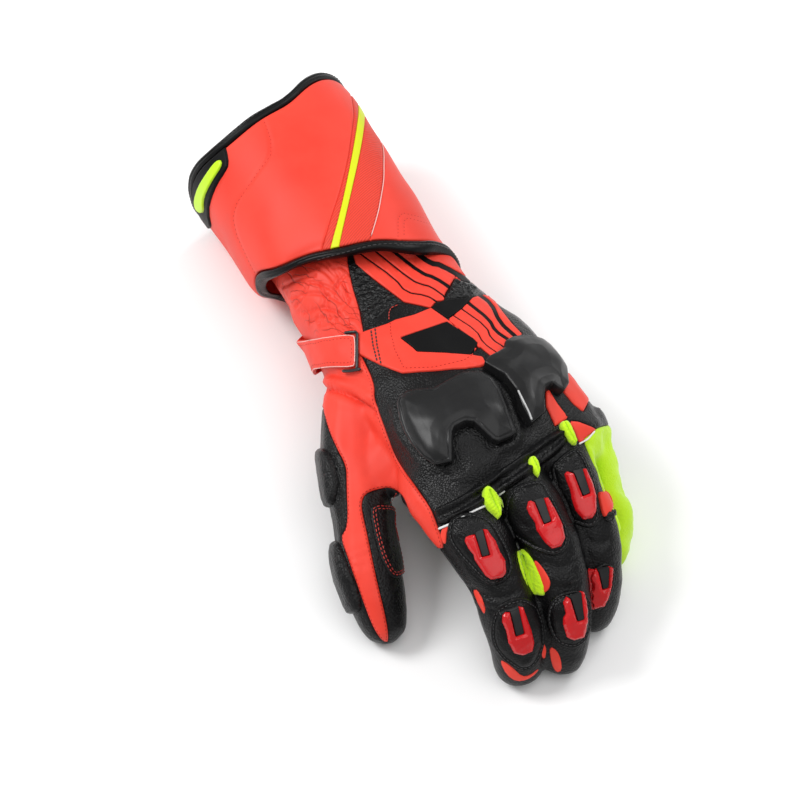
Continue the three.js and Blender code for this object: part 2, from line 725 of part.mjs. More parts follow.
// Stretch gussets in the roots between the fingers.
const gussets = [
  { name: "gusset_index_middle", across: -0.28, along: -0.165, lift: 0.8, roll: 0, pitch: 34, share: 1 },
  { name: "gusset_middle_ring", across: -0.02, along: -0.135, lift: 0.83, roll: 10, pitch: 35, share: 0.8 },
  { name: "gusset_ring_little", across: 0.22, along: -0.07, lift: 0.83, roll: 21, pitch: 17, share: 0.85 },
];
const gussetTurn = 8; // degrees
const gussetRoom = [];
for (const { name, share, ...place } of gussets) {
  const frame = frameOnHand({ ...place, turn: gussetTurn });
  const length = share * gussetLength;
  const body = prism(oval(length, gussetBreadth), frame);
  gussetRoom.push(prism(oval(length + 2 * clearance, gussetBreadth + 2 * clearance), frame));
  addMesh(name, layer(body, handGrown, onLeather, onLeather + patchHeight), neonLeather);
}
const gussetsRoom = joined(gussetRoom);

// A flex panel of two padded ribs across the back of the hand, before the knuckles.
const flexTurns = { roll: 2, pitch: 18, turn: 10 };
const flexFrame = frameOnHand({ across: -0.08, along: -0.065, lift: 0.88, ...flexTurns });
const ribPitch = 1.2 * ribBreadth; // from the middle of one rib to the next
const ribShare = 0.92; // of the panel's length
const guardRoom = (rows, span, frame) => prism(outline(rows, span + 2 * clearance), frame, deep);
const flexRoom = joined([
  gussetsRoom,
  guardRoom(guardRows, guardSpan, guardFrame),
  guardRoom(sideGuardRows, sideGuardSpan, sideGuardFrame),
]);
const flexBase = prism(oval(2 * ribPitch, ribLength), flexFrame);
const flexParts = [layer(flexBase, handGrown, onLeather, onLeather + patchHeight)];
for (const side of [-1, 1]) {
  const step = new THREE.Matrix4().makeTranslation(0, (side * ribPitch) / 2, 0);
  const body = prism(oval(ribBreadth, ribShare * ribLength), flexFrame.clone().multiply(step));
  flexParts.push(layer(body, handGrown, onLeather, onLeather + ribHeight));
}
addMesh("knuckle_flex_panel", joined(flexParts).subtract(flexRoom), blackLeather);

// Sliders: a hard red shell open towards the cuff, with a dark insert, on a padded base.
const sliderRows = [
  { u: 0.3, v: -0.5 },
  { u: 0.5, v: -0.3 },
  { u: 0.5, v: 0.08 },
  { u: 0.4, v: 0.18 },
  { u: 0.34, v: 0.5 },
  { u: 0.19, v: 0.5 },
  { u: 0.11, v: -0.1 },
];
const insertRows = [
  { u: 0.09, v: -0.07 },
  { u: 0.16, v: 0.5 },
];
const onPad = onLeather + padHeight + clearance;
const padEnds = 1.6 * padMargin; // both ends together
const padShape = oval(sliderLength + padEnds, sliderBreadth + 2 * padMargin);
const sliderShape = outline(mirrored(sliderRows), sliderBreadth, sliderLength);
const insertShape = outline(mirrored(insertRows), sliderBreadth, sliderLength);

const fingers = ["index", "middle", "ring", "little"];
const joints = [
  { finger: "index", joint: "near", row: 2.15, roll: -14 },
  { finger: "middle", joint: "near", row: 2.15, roll: -9 },
  { finger: "ring", joint: "near", row: 2.05, roll: -9 },
  { finger: "index", joint: "far", row: 4.25, roll: -2 },
  { finger: "middle", joint: "far", row: 4.35, roll: 14 },
  { finger: "ring", joint: "far", row: 4.3, roll: 10 },
];
for (const { finger, joint, row, roll } of joints) {
  const digit = digits[finger];
  const frame = frameOnDigit(digit, row, roll);
  const others = fingers.filter((name) => name !== finger);
  const keepOut = joined([gussetsRoom, ...others.map((name) => digitLoft(digits[name], onPad))]);
  const pieces = [
    { name: "pad", shape: padShape, bottom: onLeather, height: padHeight, look: blackLeather },
    { name: "slider", shape: sliderShape, bottom: onPad, height: sliderHeight, look: hardRed },
    { name: "insert", shape: insertShape, bottom: onPad, height: insertHeight, look: hardBlack },
  ];
  for (const { name, shape, bottom, height, look } of pieces) {
    const body = prism(shape, frame).subtract(keepOut);
    const solid = digitLoft(digit, bottom + height).intersect(body).subtract(handGrown(bottom));
    addMesh(`${name}_${finger}_${joint}`, solid, look);
  }
}

// Pads on the outside of the thumb, and the sewn patch on its inside.
const thumbPads = [
  { name: "thumb_pad_upper", row: 2.4, roll: -72, share: 1, height: padHeight, look: blackLeather },
  { name: "thumb_pad_lower", row: 5.0, roll: -72, share: 1.05, height: padHeight, look: blackLeather },
  { name: "thumb_patch", row: 3.95, roll: 34, share: 1.1, height: patchHeight, look: blackLeather },
];
for (const { name, row, roll, share, height, look } of thumbPads) {
  const shape = oval(share * thumbPadLength, thumbPadBreadth / share);
  const body = prism(shape, frameOnDigit(digits.thumb, row, roll));
  addMesh(name, layer(body, handGrown, onLeather, onLeather + height), look);
}

// A short bridge ties the little finger to the ring finger.
const bridgeLength = 12; // along the fingers
const bridgeThickness = 2.4;
const bridgeRow = 2.3; // of both fingers' tables
const bridgeRolls = { ring: 84, little: -48 }; // about each finger, in degrees
const onSide = (name) =>
  new THREE.Vector3().setFromMatrixPosition(frameOnDigit(digits[name], bridgeRow, bridgeRolls[name]));
const bridgeFrom = onSide("ring");
const bridgeWay = onSide("little").sub(bridgeFrom);
const bridgeFrame = frameAt(bridgeFrom, {
  roll: THREE.MathUtils.radToDeg(Math.atan2(-bridgeWay.z, bridgeWay.x)),
  turn: THREE.MathUtils.radToDeg(Math.atan2(bridgeWay.y, Math.hypot(bridgeWay.x, bridgeWay.z))),
});
const bridgeOver = fingerBreadth / 4; // how far the box reaches into each finger, before it is cut back
const bridgeBox = boxIn(bridgeFrame, {
  u: [-bridgeOver, bridgeWay.length() + bridgeOver],
  v: [-bridgeLength / 2, bridgeLength / 2],
  w: [-bridgeThickness / 2, bridgeThickness / 2],
});
addMesh("finger_bridge", bridgeBox.subtract(handGrown(clearance)), redLeather);

// The origin is the middle of the footprint, on the floor.
const bounds = new THREE.Box3().setFromObject(glove);
const middle = bounds.getCenter(new THREE.Vector3());
for (const piece of glove.children) piece.geometry.translate(-middle.x, -middle.y, -bounds.min.z);

export default glove;
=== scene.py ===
import math

import bmesh
import bpy
import numpy as np
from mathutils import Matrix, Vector
from mathutils.bvhtree import BVHTree
from mathutils.kdtree import KDTree


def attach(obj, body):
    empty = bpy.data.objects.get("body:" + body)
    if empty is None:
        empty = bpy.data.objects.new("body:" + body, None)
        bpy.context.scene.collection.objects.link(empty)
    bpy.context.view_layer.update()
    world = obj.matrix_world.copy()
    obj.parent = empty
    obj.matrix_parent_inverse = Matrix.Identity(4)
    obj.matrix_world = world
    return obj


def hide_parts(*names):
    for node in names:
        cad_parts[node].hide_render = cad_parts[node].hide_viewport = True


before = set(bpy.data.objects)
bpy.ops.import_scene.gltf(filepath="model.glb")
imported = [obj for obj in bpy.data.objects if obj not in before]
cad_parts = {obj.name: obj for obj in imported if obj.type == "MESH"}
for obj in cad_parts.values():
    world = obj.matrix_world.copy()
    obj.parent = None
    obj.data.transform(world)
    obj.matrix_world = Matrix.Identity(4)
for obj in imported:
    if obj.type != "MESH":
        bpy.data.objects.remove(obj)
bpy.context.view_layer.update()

# Lengths here are millimetres in the row frame, and become metres when a piece is made.
MM = 0.001

# ---------------------------------------------------------------- camera
AZIMUTH = math.radians(-33)
ELEVATION = math.radians(53)
DISTANCE = 1250.0
TARGET = np.array([-1.61, -15.80, 45.0])
IMAGE = 800
PIXEL = 0.48  # mm per pixel at the target
FOCAL = DISTANCE / PIXEL  # in pixels
BACK = np.array([
    math.sin(AZIMUTH) * math.cos(ELEVATION),
    -math.cos(AZIMUTH) * math.cos(ELEVATION),
    math.sin(ELEVATION),
])
RIGHT = np.array([math.cos(AZIMUTH), math.sin(AZIMUTH), 0.0])
UP = np.cross(BACK, RIGHT)
EYE = TARGET + DISTANCE * BACK

camera_data = bpy.data.cameras.new("camera")
camera_data.sensor_width = 36.0
camera_data.lens = FOCAL / IMAGE * 36.0
camera_data.clip_start = 0.05
camera_data.clip_end = 10.0
camera = bpy.data.objects.new("camera", camera_data)
bpy.context.scene.collection.objects.link(camera)
camera.location = Vector(EYE * MM)
camera.rotation_mode = "QUATERNION"
camera.rotation_quaternion = Vector(-BACK).to_track_quat("-Z", "Y")
bpy.context.scene.camera = camera
bpy.context.scene.view_settings.view_transform = "Standard"


def pixels(points):
    """Where points fall in the picture, in pixels."""
    away = points - EYE
    depth = -(away @ BACK)
    return np.stack([
        IMAGE / 2 + FOCAL * (away @ RIGHT) / depth,
        IMAGE / 2 - FOCAL * (away @ UP) / depth,
    ], axis=1)


def sight(u, v):
    """The direction from the eye through a pixel."""
    way = -BACK + RIGHT * (u - IMAGE / 2) / FOCAL + UP * (IMAGE / 2 - v) / FOCAL
    return way / np.linalg.norm(way)


# ---------------------------------------------------------------- skins
# A skin is a dict of per-vertex arrays with its triangles under "F".

def edges_of(F):
    return np.sort(np.concatenate([F[:, [0, 1]], F[:, [1, 2]], F[:, [2, 0]]]), axis=1)


def normals_of(V, F):
    face = np.cross(V[F[:, 1]] - V[F[:, 0]], V[F[:, 2]] - V[F[:, 0]])
    N = np.zeros_like(V)
    for corner in range(3):
        for axis in range(3):
            N[:, axis] += np.bincount(F[:, corner], face[:, axis], len(V))
    return N / np.maximum(np.linalg.norm(N, axis=1), 1e-9)[:, None]


def relaxed(values, F, rounds, hold=None):
    """values, averaged over each vertex's neighbours again and again."""
    E = np.unique(edges_of(F), axis=0)
    n = len(values)
    degree = np.bincount(E.ravel(), minlength=n)
    out = values.copy()
    for _ in range(rounds):
        total = np.empty_like(out)
        for axis in range(out.shape[1]):
            total[:, axis] = np.bincount(E[:, 0], out[E[:, 1], axis], n)
            total[:, axis] += np.bincount(E[:, 1], out[E[:, 0], axis], n)
        mean = total / np.maximum(degree, 1)[:, None]
        out = mean if hold is None else np.where(hold[:, None], out, mean)
    return out


def evened(V, F, rounds):
    """V without its facets. Each round moves in and then a little more out, so nothing shrinks."""
    for _ in range(rounds):
        V = V + 0.63 * (relaxed(V, F, 1) - V)
        V = V - 0.67 * (relaxed(V, F, 1) - V)
    return V


def arrays_of(mesh):
    V = np.empty(len(mesh.vertices) * 3)
    mesh.vertices.foreach_get("co", V)
    mesh.calc_loop_triangles()
    F = np.empty(len(mesh.loop_triangles) * 3, dtype=np.int32)
    mesh.loop_triangles.foreach_get("vertices", F)
    return V.reshape(-1, 3) / MM, F.reshape(-1, 3).astype(np.int64)


def modified(bm, *modifiers):
    """The arrays of a bmesh with modifiers applied. A modifier is (type, settings)."""
    mesh = bpy.data.meshes.new("work")
    bm.to_mesh(mesh)
    work = bpy.data.objects.new("work", mesh)
    bpy.context.scene.collection.objects.link(work)
    for kind, settings in modifiers:
        modifier = work.modifiers.new(kind.lower(), kind)
        for key, value in settings.items():
            setattr(modifier, key, value)
    evaluated = work.evaluated_get(bpy.context.evaluated_depsgraph_get())
    result = arrays_of(evaluated.to_mesh())
    evaluated.to_mesh_clear()
    bpy.data.objects.remove(work)
    bpy.data.meshes.remove(mesh)
    return result


def node_bmesh(name):
    bm = bmesh.new()
    bm.from_mesh(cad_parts[name].data)
    bmesh.ops.remove_doubles(bm, verts=bm.verts, dist=1e-6)
    return bm


def keep_faces(bm, wanted):
    gone = [f for f in bm.faces if not wanted(f)]
    bmesh.ops.delete(bm, geom=gone, context="FACES")


def largest_island(bm):
    seen, best = set(), []
    for start in bm.faces:
        if start in seen:
            continue
        island, front = [], [start]
        seen.add(start)
        while front:
            face = front.pop()
            island.append(face)
            for edge in face.edges:
                for other in edge.link_faces:
                    if other not in seen:
                        seen.add(other)
                        front.append(other)
        reach = Vector(max(v.co[k] for f in island for v in f.verts) for k in range(3))
        reach -= Vector(min(v.co[k] for f in island for v in f.verts) for k in range(3))
        if not best or reach.length > best[0]:
            best = (reach.length, set(island))
    keep_faces(bm, lambda f: f in best[1])


def add_to(bm, other):
    mesh = bpy.data.meshes.new("work")
    other.to_mesh(mesh)
    bm.from_mesh(mesh)
    bpy.data.meshes.remove(mesh)


def skin_of(V, F, soft_rounds=30):
    N = normals_of(V, F)
    S = relaxed(N, F, soft_rounds)
    S /= np.linalg.norm(S, axis=1)[:, None]
    return {"F": F, "V": V, "N": N, "S": S}


def cut(skin, field, level=0.0, snap=0.03):
    """skin with its triangles split along field = level, and field less level there."""
    s = field - level
    s = np.where(np.abs(s) < snap, 0.0, s)
    F, n = skin["F"], len(s)
    edges = np.concatenate([F[:, [0, 1]], F[:, [1, 2]], F[:, [2, 0]]])
    hit = s[edges[:, 0]] * s[edges[:, 1]] < 0
    if not hit.any():
        return skin, s
    key = np.sort(edges, axis=1)
    flat = key[:, 0] * n + key[:, 1]
    unique, inverse = np.unique(flat[hit], return_inverse=True)
    i, j = unique // n, unique % n
    t = s[i] / (s[i] - s[j])
    out = {}
    for name, values in skin.items():
        if name != "F":
            share = t if values.ndim == 1 else t[:, None]
            out[name] = np.concatenate([values, values[i] * (1 - share) + values[j] * share])
    middle = np.full(3 * len(F), -1, dtype=np.int64)
    middle[hit] = n + inverse
    middle = middle.reshape(3, -1).T
    count = (middle >= 0).sum(1)
    made = [F[count == 0]]

    def turned(rows, first):
        columns = (first[:, None] + np.arange(3)) % 3
        at = rows[:, None]
        return F[at, columns].T, middle[at, columns].T

    rows = np.nonzero(count == 2)[0]
    if len(rows):
        (a, b, c), (ab, _, ca) = turned(rows, (np.argmin(middle[rows] >= 0, axis=1) + 2) % 3)
        made += [np.stack(f, axis=1) for f in ((a, ab, ca), (ab, b, c), (ab, c, ca))]
    rows = np.nonzero(count == 1)[0]
    if len(rows):
        (a, b, c), (_, bc, _) = turned(rows, (np.argmax(middle[rows] >= 0, axis=1) + 2) % 3)
        made += [np.stack(f, axis=1) for f in ((a, b, bc), (a, bc, c))]
    out["F"] = np.concatenate(made)
    return out, np.concatenate([s, np.zeros(len(unique))])


def part_of(skin, faces):
    """The skin of the chosen triangles alone."""
    F = skin["F"][faces]
    used, inverse = np.unique(F, return_inverse=True)
    out = {name: values[used] for name, values in skin.items() if name != "F"}
    out["F"] = inverse.reshape(-1, 3)
    return out


def split(skin, field):
    """(where field is positive, the rest)."""
    skin, s = cut(skin, field)
    inside = s[skin["F"]].sum(1) > 0
    return part_of(skin, inside), part_of(skin, ~inside)


def islands(skin):
    """An island number for each triangle."""
    E = np.unique(edges_of(skin["F"]), axis=0)
    label = np.arange(len(skin["V"]))
    while True:
        low = np.minimum(label[E[:, 0]], label[E[:, 1]])
        new = label.copy()
        np.minimum.at(new, E[:, 0], low)
        np.minimum.at(new, E[:, 1], low)
        new = new[new]
        if (new == label).all():
            return label[skin["F"][:, 0]]
        label = new


def main_island(skin):
    """The largest island."""
    label = islands(skin)
    numbers, sizes = np.unique(label, return_counts=True)
    return part_of(skin, label == numbers[np.argmax(sizes)])


def rim_edges(F):
    E, count = np.unique(edges_of(F), axis=0, return_counts=True)
    return E[count == 1]


def rim_distance(skin):
    """Each vertex's distance from the skin's rim."""
    E = rim_edges(skin["F"])
    V = skin["V"]
    shares = np.linspace(0, 1, 5)[None, :, None]
    points = (V[E[:, :1]] * (1 - shares) + V[E[:, 1:]] * shares).reshape(-1, 3)
    tree = KDTree(len(points))
    for k, p in enumerate(points):
        tree.insert(p, k)
    tree.balance()
    return np.array([tree.find(v)[2] for v in V])


def divided(skin):
    """skin with each triangle split into four."""
    F, n = skin["F"], len(skin["V"])
    flat = edges_of(F)
    unique, inverse = np.unique(flat[:, 0] * n + flat[:, 1], return_inverse=True)
    i, j = unique // n, unique % n
    out = {
        name: np.concatenate([values, (values[i] + values[j]) / 2])
        for name, values in skin.items() if name != "F"
    }
    ab, bc, ca = (inverse + n).reshape(3, -1)
    a, b, c = F.T
    out["F"] = np.concatenate([
        np.stack(f, axis=1) for f in ((a, ab, ca), (ab, b, bc), (ca, bc, c), (ab, bc, ca))
    ])
    return out


# ---------------------------------------------------------------- outlines in the picture

def rounded(points, rounds=2, closed=True):
    """The outline with its corners cut again and again."""
    P = np.array(points, dtype=float)
    for _ in range(rounds):
        A, B = (P, np.roll(P, -1, axis=0)) if closed else (P[:-1], P[1:])
        Q = np.stack([0.75 * A + 0.25 * B, 0.25 * A + 0.75 * B], axis=1).reshape(-1, 2)
        P = Q if closed else np.concatenate([P[:1], Q, P[-1:]])
    return P


FAR = 30.0


def line_distance(at, points, closed=False):
    """Distance in mm of picture points from a line through points."""
    P = np.array(points, dtype=float)
    A, B = (P, np.roll(P, -1, axis=0)) if closed else (P[:-1], P[1:])
    near = ((at > P.min(0) - FAR / PIXEL) & (at < P.max(0) + FAR / PIXEL)).all(1)
    best = np.full(len(at), FAR / PIXEL)
    spot = at[near]
    least = best[near]
    for a, b in zip(A, B):
        way = b - a
        t = np.clip((spot - a) @ way / max(way @ way, 1e-9), 0, 1)
        least = np.minimum(least, np.linalg.norm(spot - a - t[:, None] * way, axis=1))
    best[near] = least
    return best * PIXEL


def within(at, points):
    """Distance in mm inside an outline in the picture, negative outside it."""
    P = np.array(points, dtype=float)
    inside = np.zeros(len(at), dtype=bool)
    for a, b in zip(P, np.roll(P, -1, axis=0)):
        if a[1] == b[1]:
            continue
        across = (a[1] > at[:, 1]) != (b[1] > at[:, 1])
        x = (b[0] - a[0]) * (at[:, 1] - a[1]) / (b[1] - a[1]) + a[0]
        inside ^= across & (at[:, 0] < x)
    distance = line_distance(at, P, closed=True)
    return np.where(inside, distance, -distance)


def facing(skin, wrap=0.0, reach=12.0):
    """Positive where the skin faces the camera; wrap lets it go round the back."""
    return reach * (skin["S"] @ BACK + wrap)


def drawn(skin, points, height=0.0, rounds=2, wrap=0.0):
    """The field of an outline in the picture, for a layer of that height on the skin."""
    at = pixels(skin["V"] + height * skin["N"])
    return np.minimum(within(at, rounded(points, rounds)), facing(skin, wrap))


GROUND = np.array([-math.sin(AZIMUTH), math.cos(AZIMUTH), 0.0])  # up in the picture, level in the frame


def shifted(V, pairs, reach=26.0):
    """V moved level, so that it goes in the picture from the first point of each pair to the second."""
    start = np.array([pair[0] for pair in pairs], dtype=float)
    aim = np.array([pair[1] for pair in pairs], dtype=float)
    near = np.exp(-((start[:, None] - start[None]) ** 2).sum(2) / (2 * reach ** 2))
    share = np.linalg.solve(near + 0.05 * np.eye(len(start)), aim - start)
    at = pixels(V)
    move = np.zeros_like(at)
    for point, part in zip(start, share):
        move += np.exp(-((at - point) ** 2).sum(1) / (2 * reach ** 2))[:, None] * part
    level = move[:, :1] * PIXEL * RIGHT - move[:, 1:] * PIXEL / math.sin(ELEVATION) * GROUND
    return V + level


# ---------------------------------------------------------------- making pieces
materials = {}


def make(name, V, F, look, slot, nodes=(), sharp=None, padded=None):
    """A visible piece of the root body, which stands for those CAD nodes."""
    mesh = bpy.data.meshes.new(name)
    mesh.from_pydata((V * MM).tolist(), [], F.tolist())
    mesh.materials.append(materials[look])
    mesh.polygons.foreach_set("use_smooth", np.ones(len(F), dtype=bool))
    if sharp is not None:
        mesh.set_sharp_from_angle(angle=math.radians(sharp))
    mesh.update()
    piece = bpy.data.objects.new(name, mesh)
    bpy.context.scene.collection.objects.link(piece)
    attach(piece, "root")
    if nodes:
        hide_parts(*nodes)
    return piece


def closed_layer(skin, top, under):
    """A closed solid between two heights over a skin."""
    V, F, N = skin["V"], skin["F"], skin["N"]
    n = len(V)
    ways = np.stack([F[:, [0, 1]], F[:, [1, 2]], F[:, [2, 0]]]).reshape(-1, 2)
    flat = ways.min(1) * n + ways.max(1)
    _, first, times = np.unique(flat, return_index=True, return_counts=True)
    a, b = ways[first[times == 1]].T
    walls = np.concatenate([np.stack([b, a, a + n], axis=1), np.stack([b, a + n, b + n], axis=1)])
    points = np.concatenate([V + top[:, None] * N, V + under * N])
    return points, np.concatenate([F, F[:, ::-1] + n, walls])


def layer(name, skin, profile, look, slot, under=-0.4, extra=None, fine=0, smooth=0, **more):
    """A leather or plastic piece on a skin. profile is rows of (distance from its rim, height)."""
    for _ in range(fine):
        skin = divided(skin)
    d = rim_distance(skin)
    for level, _ in profile:
        if 0 < level < d.max():
            skin["d"] = d
            skin, _ = cut(skin, d, level, snap=0.04)
            d = skin.pop("d")
    far, high = np.array(profile).T
    top = np.interp(d, far, high)
    if extra is not None:
        top = top + extra(skin, d)
    if smooth:
        top = relaxed(top[:, None], skin["F"], smooth, hold=d < 1e-6)[:, 0]
    V, F = closed_layer(skin, top, under)
    piece = make(name, V, F, look, slot, **more)
    return skin, top, d, piece


def ripple(V, size, seed, waves=14):
    """Smooth, repeatable unevenness of that size in mm, from about -1 to 1."""
    random = np.random.default_rng(seed)
    ways = random.normal(size=(waves, 3))
    ways *= (2 * math.pi / size * random.uniform(0.6, 1.5, waves) / np.linalg.norm(ways, axis=1))[:, None]
    return np.sin(V @ ways.T + random.uniform(0, 2 * math.pi, waves)).sum(1) / math.sqrt(waves * 2)


def chains(skin, field, level):
    """Lines of (point, normal) along field = level."""
    skin, s = cut(skin, field, level)
    F = skin["F"]
    on = s[F] == 0
    rows = (on.sum(1) == 2) & (s[F].sum(1) > 0)
    pairs = F[rows][on[rows]].reshape(-1, 2)
    links = {}
    for a, b in pairs.tolist():
        links.setdefault(a, []).append(b)
        links.setdefault(b, []).append(a)
    lines, done = [], set()
    starts = [v for v in links if len(links[v]) == 1] + list(links)
    for start in starts:
        if start in done:
            continue
        line, at = [start], start
        done.add(start)
        while True:
            after = [v for v in links[at] if v not in done]
            if not after:
                break
            at = after[0]
            done.add(at)
            line.append(at)
        if start in links[at] and len(line) > 3:
            line.append(start)
        if len(line) > 2:
            lines.append((skin["V"][line], skin["N"][line]))
    return lines


def spaced(points, normals, pitch):
    """Points along a line at an even pitch, with their normals and directions."""
    steps = np.linalg.norm(np.diff(points, axis=0), axis=1)
    along = np.concatenate([[0], np.cumsum(steps)])
    count = int(along[-1] // pitch)
    if count < 1:
        return np.zeros((0, 3)), np.zeros((0, 3)), np.zeros((0, 3))
    where = (np.arange(count) + 0.5) * along[-1] / count
    P, N, A, B = (
        np.stack([np.interp(at, along, values[:, k]) for k in range(3)], axis=1)
        for at, values in ((where, points), (where, normals), (where - 0.6, points), (where + 0.6, points))
    )
    T = B - A
    return P, N, T / np.maximum(np.linalg.norm(T, axis=1), 1e-6)[:, None]


def capsule(around=6, rings=4):
    """A unit ellipsoid, long in x."""
    V, F = [(-1.0, 0.0, 0.0)], []
    for i in range(rings):
        turn = math.pi * (i + 0.75) / (rings + 0.5)
        for j in range(around):
            side = 2 * math.pi * j / around
            V.append((-math.cos(turn), math.sin(turn) * math.cos(side), math.sin(turn) * math.sin(side)))
    V.append((1.0, 0.0, 0.0))
    last = len(V) - 1
    for j in range(around):
        k = (j + 1) % around
        F.append((0, 1 + k, 1 + j))
        F.append((last, last - around + j, last - around + k))
        for i in range(rings - 1):
            a, b = 1 + i * around + j, 1 + i * around + k
            F += [(a, b, b + around), (a, b + around, a + around)]
    return np.array(V), np.array(F)


CAPSULE = capsule()


def stitched(name, lines, look, slot, pitch=2.6, length=1.9, width=0.55, lift=0.1, nodes=()):
    """A row of stitches along each line of (points, normals)."""
    V, F, count = [], [], 0
    for points, normals in lines:
        P, N, T = spaced(np.asarray(points), np.asarray(normals), pitch)
        if not len(P):
            continue
        B = np.cross(N, T)
        B /= np.maximum(np.linalg.norm(B, axis=1), 1e-6)[:, None]
        U = np.cross(T, B)
        size = np.array([length / 2, width / 2, width / 2.4])
        shape = CAPSULE[0] * size
        placed = (
            P[:, None] + lift * U[:, None] + shape[None, :, :1] * T[:, None]
            + shape[None, :, 1:2] * B[:, None] + shape[None, :, 2:] * U[:, None]
        )
        V.append(placed.reshape(-1, 3))
        F.append((CAPSULE[1][None] + (count + np.arange(len(P)) * len(shape))[:, None, None]).reshape(-1, 3))
        count += len(P) * len(shape)
    if V:
        return make(name, np.concatenate(V), np.concatenate(F), look, slot, nodes=nodes)


def swept(name, points, normals, radius, look, slot, around=8, flat=1.0, nodes=()):
    """A bar of round section along a line; flat squeezes it against the surface."""
    P = np.asarray(points)
    N = np.asarray(normals)
    T = np.gradient(P, axis=0)
    T /= np.maximum(np.linalg.norm(T, axis=1), 1e-6)[:, None]
    B = np.cross(N, T)
    B /= np.maximum(np.linalg.norm(B, axis=1), 1e-6)[:, None]
    U = np.cross(T, B)
    turn = np.arange(around) * 2 * math.pi / around
    ends = np.ones(len(P))
    ends[[0, -1]] = 0.35
    ring = (
        P[:, None] + radius * ends[:, None, None] * np.cos(turn)[None, :, None] * B[:, None]
        + radius * flat * ends[:, None, None] * np.sin(turn)[None, :, None] * U[:, None]
    )
    V = ring.reshape(-1, 3)
    F = []
    for i in range(len(P) - 1):
        for j in range(around):
            k = (j + 1) % around
            a, b = i * around + j, i * around + k
            F += [(a, b, b + around), (a, b + around, a + around)]
    for first, flip in ((0, True), ((len(P) - 1) * around, False)):
        for j in range(1, around - 1):
            face = (first, first + j, first + j + 1)
            F.append(face[::-1] if flip else face)
    return make(name, V, np.array(F), look, slot, nodes=nodes)


def seen_on(skin, points, height=0.0, step=1.0):
    """A line drawn in the picture, laid on a skin: (points, normals)."""
    tree = BVHTree.FromPolygons((skin["V"] + height * skin["N"]).tolist(), skin["F"].tolist())
    P = np.array(points, dtype=float)
    runs = np.linalg.norm(np.diff(P, axis=0), axis=1)
    along = np.concatenate([[0], np.cumsum(runs)])
    where = np.arange(0, along[-1] + step / 2, step)
    spots, normals = [], []
    for u, v in zip(np.interp(where, along, P[:, 0]), np.interp(where, along, P[:, 1])):
        spot, normal, _, _ = tree.ray_cast(Vector(EYE), Vector(sight(u, v)))
        if spot is not None:
            spots.append(spot[:])
            normals.append(normal[:])
    spots, normals = np.array(spots), np.array(normals)
    for _ in range(2):
        normals[1:-1] = (normals[:-2] + normals[1:-1] + normals[2:]) / 3
        spots[1:-1] = (spots[:-2] + 2 * spots[1:-1] + spots[2:]) / 4
    return spots, normals


def ridges(skin, rows, height=0.0, reach=0.1):
    """The height of folds and creases drawn in the picture: rows of (points, height, half width)."""
    at = pixels(skin["V"] + height * skin["N"])
    seen = np.clip((skin["S"] @ BACK) / reach, 0, 1)
    total = np.zeros(len(at))
    for points, high, wide in rows:
        d = line_distance(at, rounded(points, 2, closed=False))
        total += high * np.exp(-(d / wide) ** 2)
    return total * seen


# ---------------------------------------------------------------- materials
WAVE_UNIT = 314.0  # the spacing in mm of Blender's wave texture at scale 1
RIB_RED = (0.55, 0.036, 0.016)
# The dark red along the leather's creases is painted shade.
CREASE_SHADE_RED = (0.16, 0.008, 0.005)


def new_material(name):
    """An empty material: its nodes and links, its shader and the object coordinates."""
    material = bpy.data.materials.new(name)
    material.use_nodes = True
    nodes, links = material.node_tree.nodes, material.node_tree.links
    nodes.clear()
    out = nodes.new("ShaderNodeOutputMaterial")
    shader = nodes.new("ShaderNodeBsdfPrincipled")
    links.new(shader.outputs[0], out.inputs[0])
    where = nodes.new("ShaderNodeTexCoord")
    materials[name] = material
    return nodes, links, shader, where.outputs["Object"]


def texture(nodes, links, where, kind, scale, **sockets):
    node = nodes.new(kind)
    links.new(where, node.inputs["Vector"])
    node.inputs["Scale"].default_value = scale
    for key, value in sockets.items():
        node.inputs[key].default_value = value
    return node


def ramp(nodes, links, source, low, high, a=0.0, b=1.0):
    node = nodes.new("ShaderNodeMapRange")
    links.new(source, node.inputs["Value"])
    node.inputs["From Min"].default_value = low
    node.inputs["From Max"].default_value = high
    node.inputs["To Min"].default_value = a
    node.inputs["To Max"].default_value = b
    return node.outputs[0]


def maths(nodes, links, operation, a, b):
    node = nodes.new("ShaderNodeMath")
    node.operation = operation
    for k, value in enumerate((a, b)):
        if isinstance(value, (int, float)):
            node.inputs[k].default_value = value
        else:
            links.new(value, node.inputs[k])
    return node.outputs[0]


def mixed(nodes, links, factor, a, b):
    """A mix of two colours; the first may be a socket."""
    node = nodes.new("ShaderNodeMix")
    node.data_type = "RGBA"
    links.new(factor, node.inputs["Factor"])
    if isinstance(a, tuple):
        node.inputs["A"].default_value = (*a, 1)
    else:
        links.new(a, node.inputs["A"])
    node.inputs["B"].default_value = (*b, 1)
    return node.outputs["Result"]


def waves(nodes, links, where, degrees, spacing):
    """Parallel waves of that spacing in mm, turned about z."""
    turned = nodes.new("ShaderNodeMapping")
    links.new(where, turned.inputs["Vector"])
    turned.inputs["Rotation"].default_value = (0.0, 0.0, math.radians(degrees))
    return texture(nodes, links, turned.outputs[0], "ShaderNodeTexWave", WAVE_UNIT / spacing)


def bumped(nodes, links, shader, height, depth, before=None):
    """Gives the shader a bump of that depth in mm, over the one before."""
    node = nodes.new("ShaderNodeBump")
    links.new(height, node.inputs["Height"])
    node.inputs["Distance"].default_value = depth * MM
    node.inputs["Strength"].default_value = 1.0
    if before is not None:
        links.new(before, node.inputs["Normal"])
    links.new(node.outputs[0], shader.inputs["Normal"])
    return node.outputs[0]


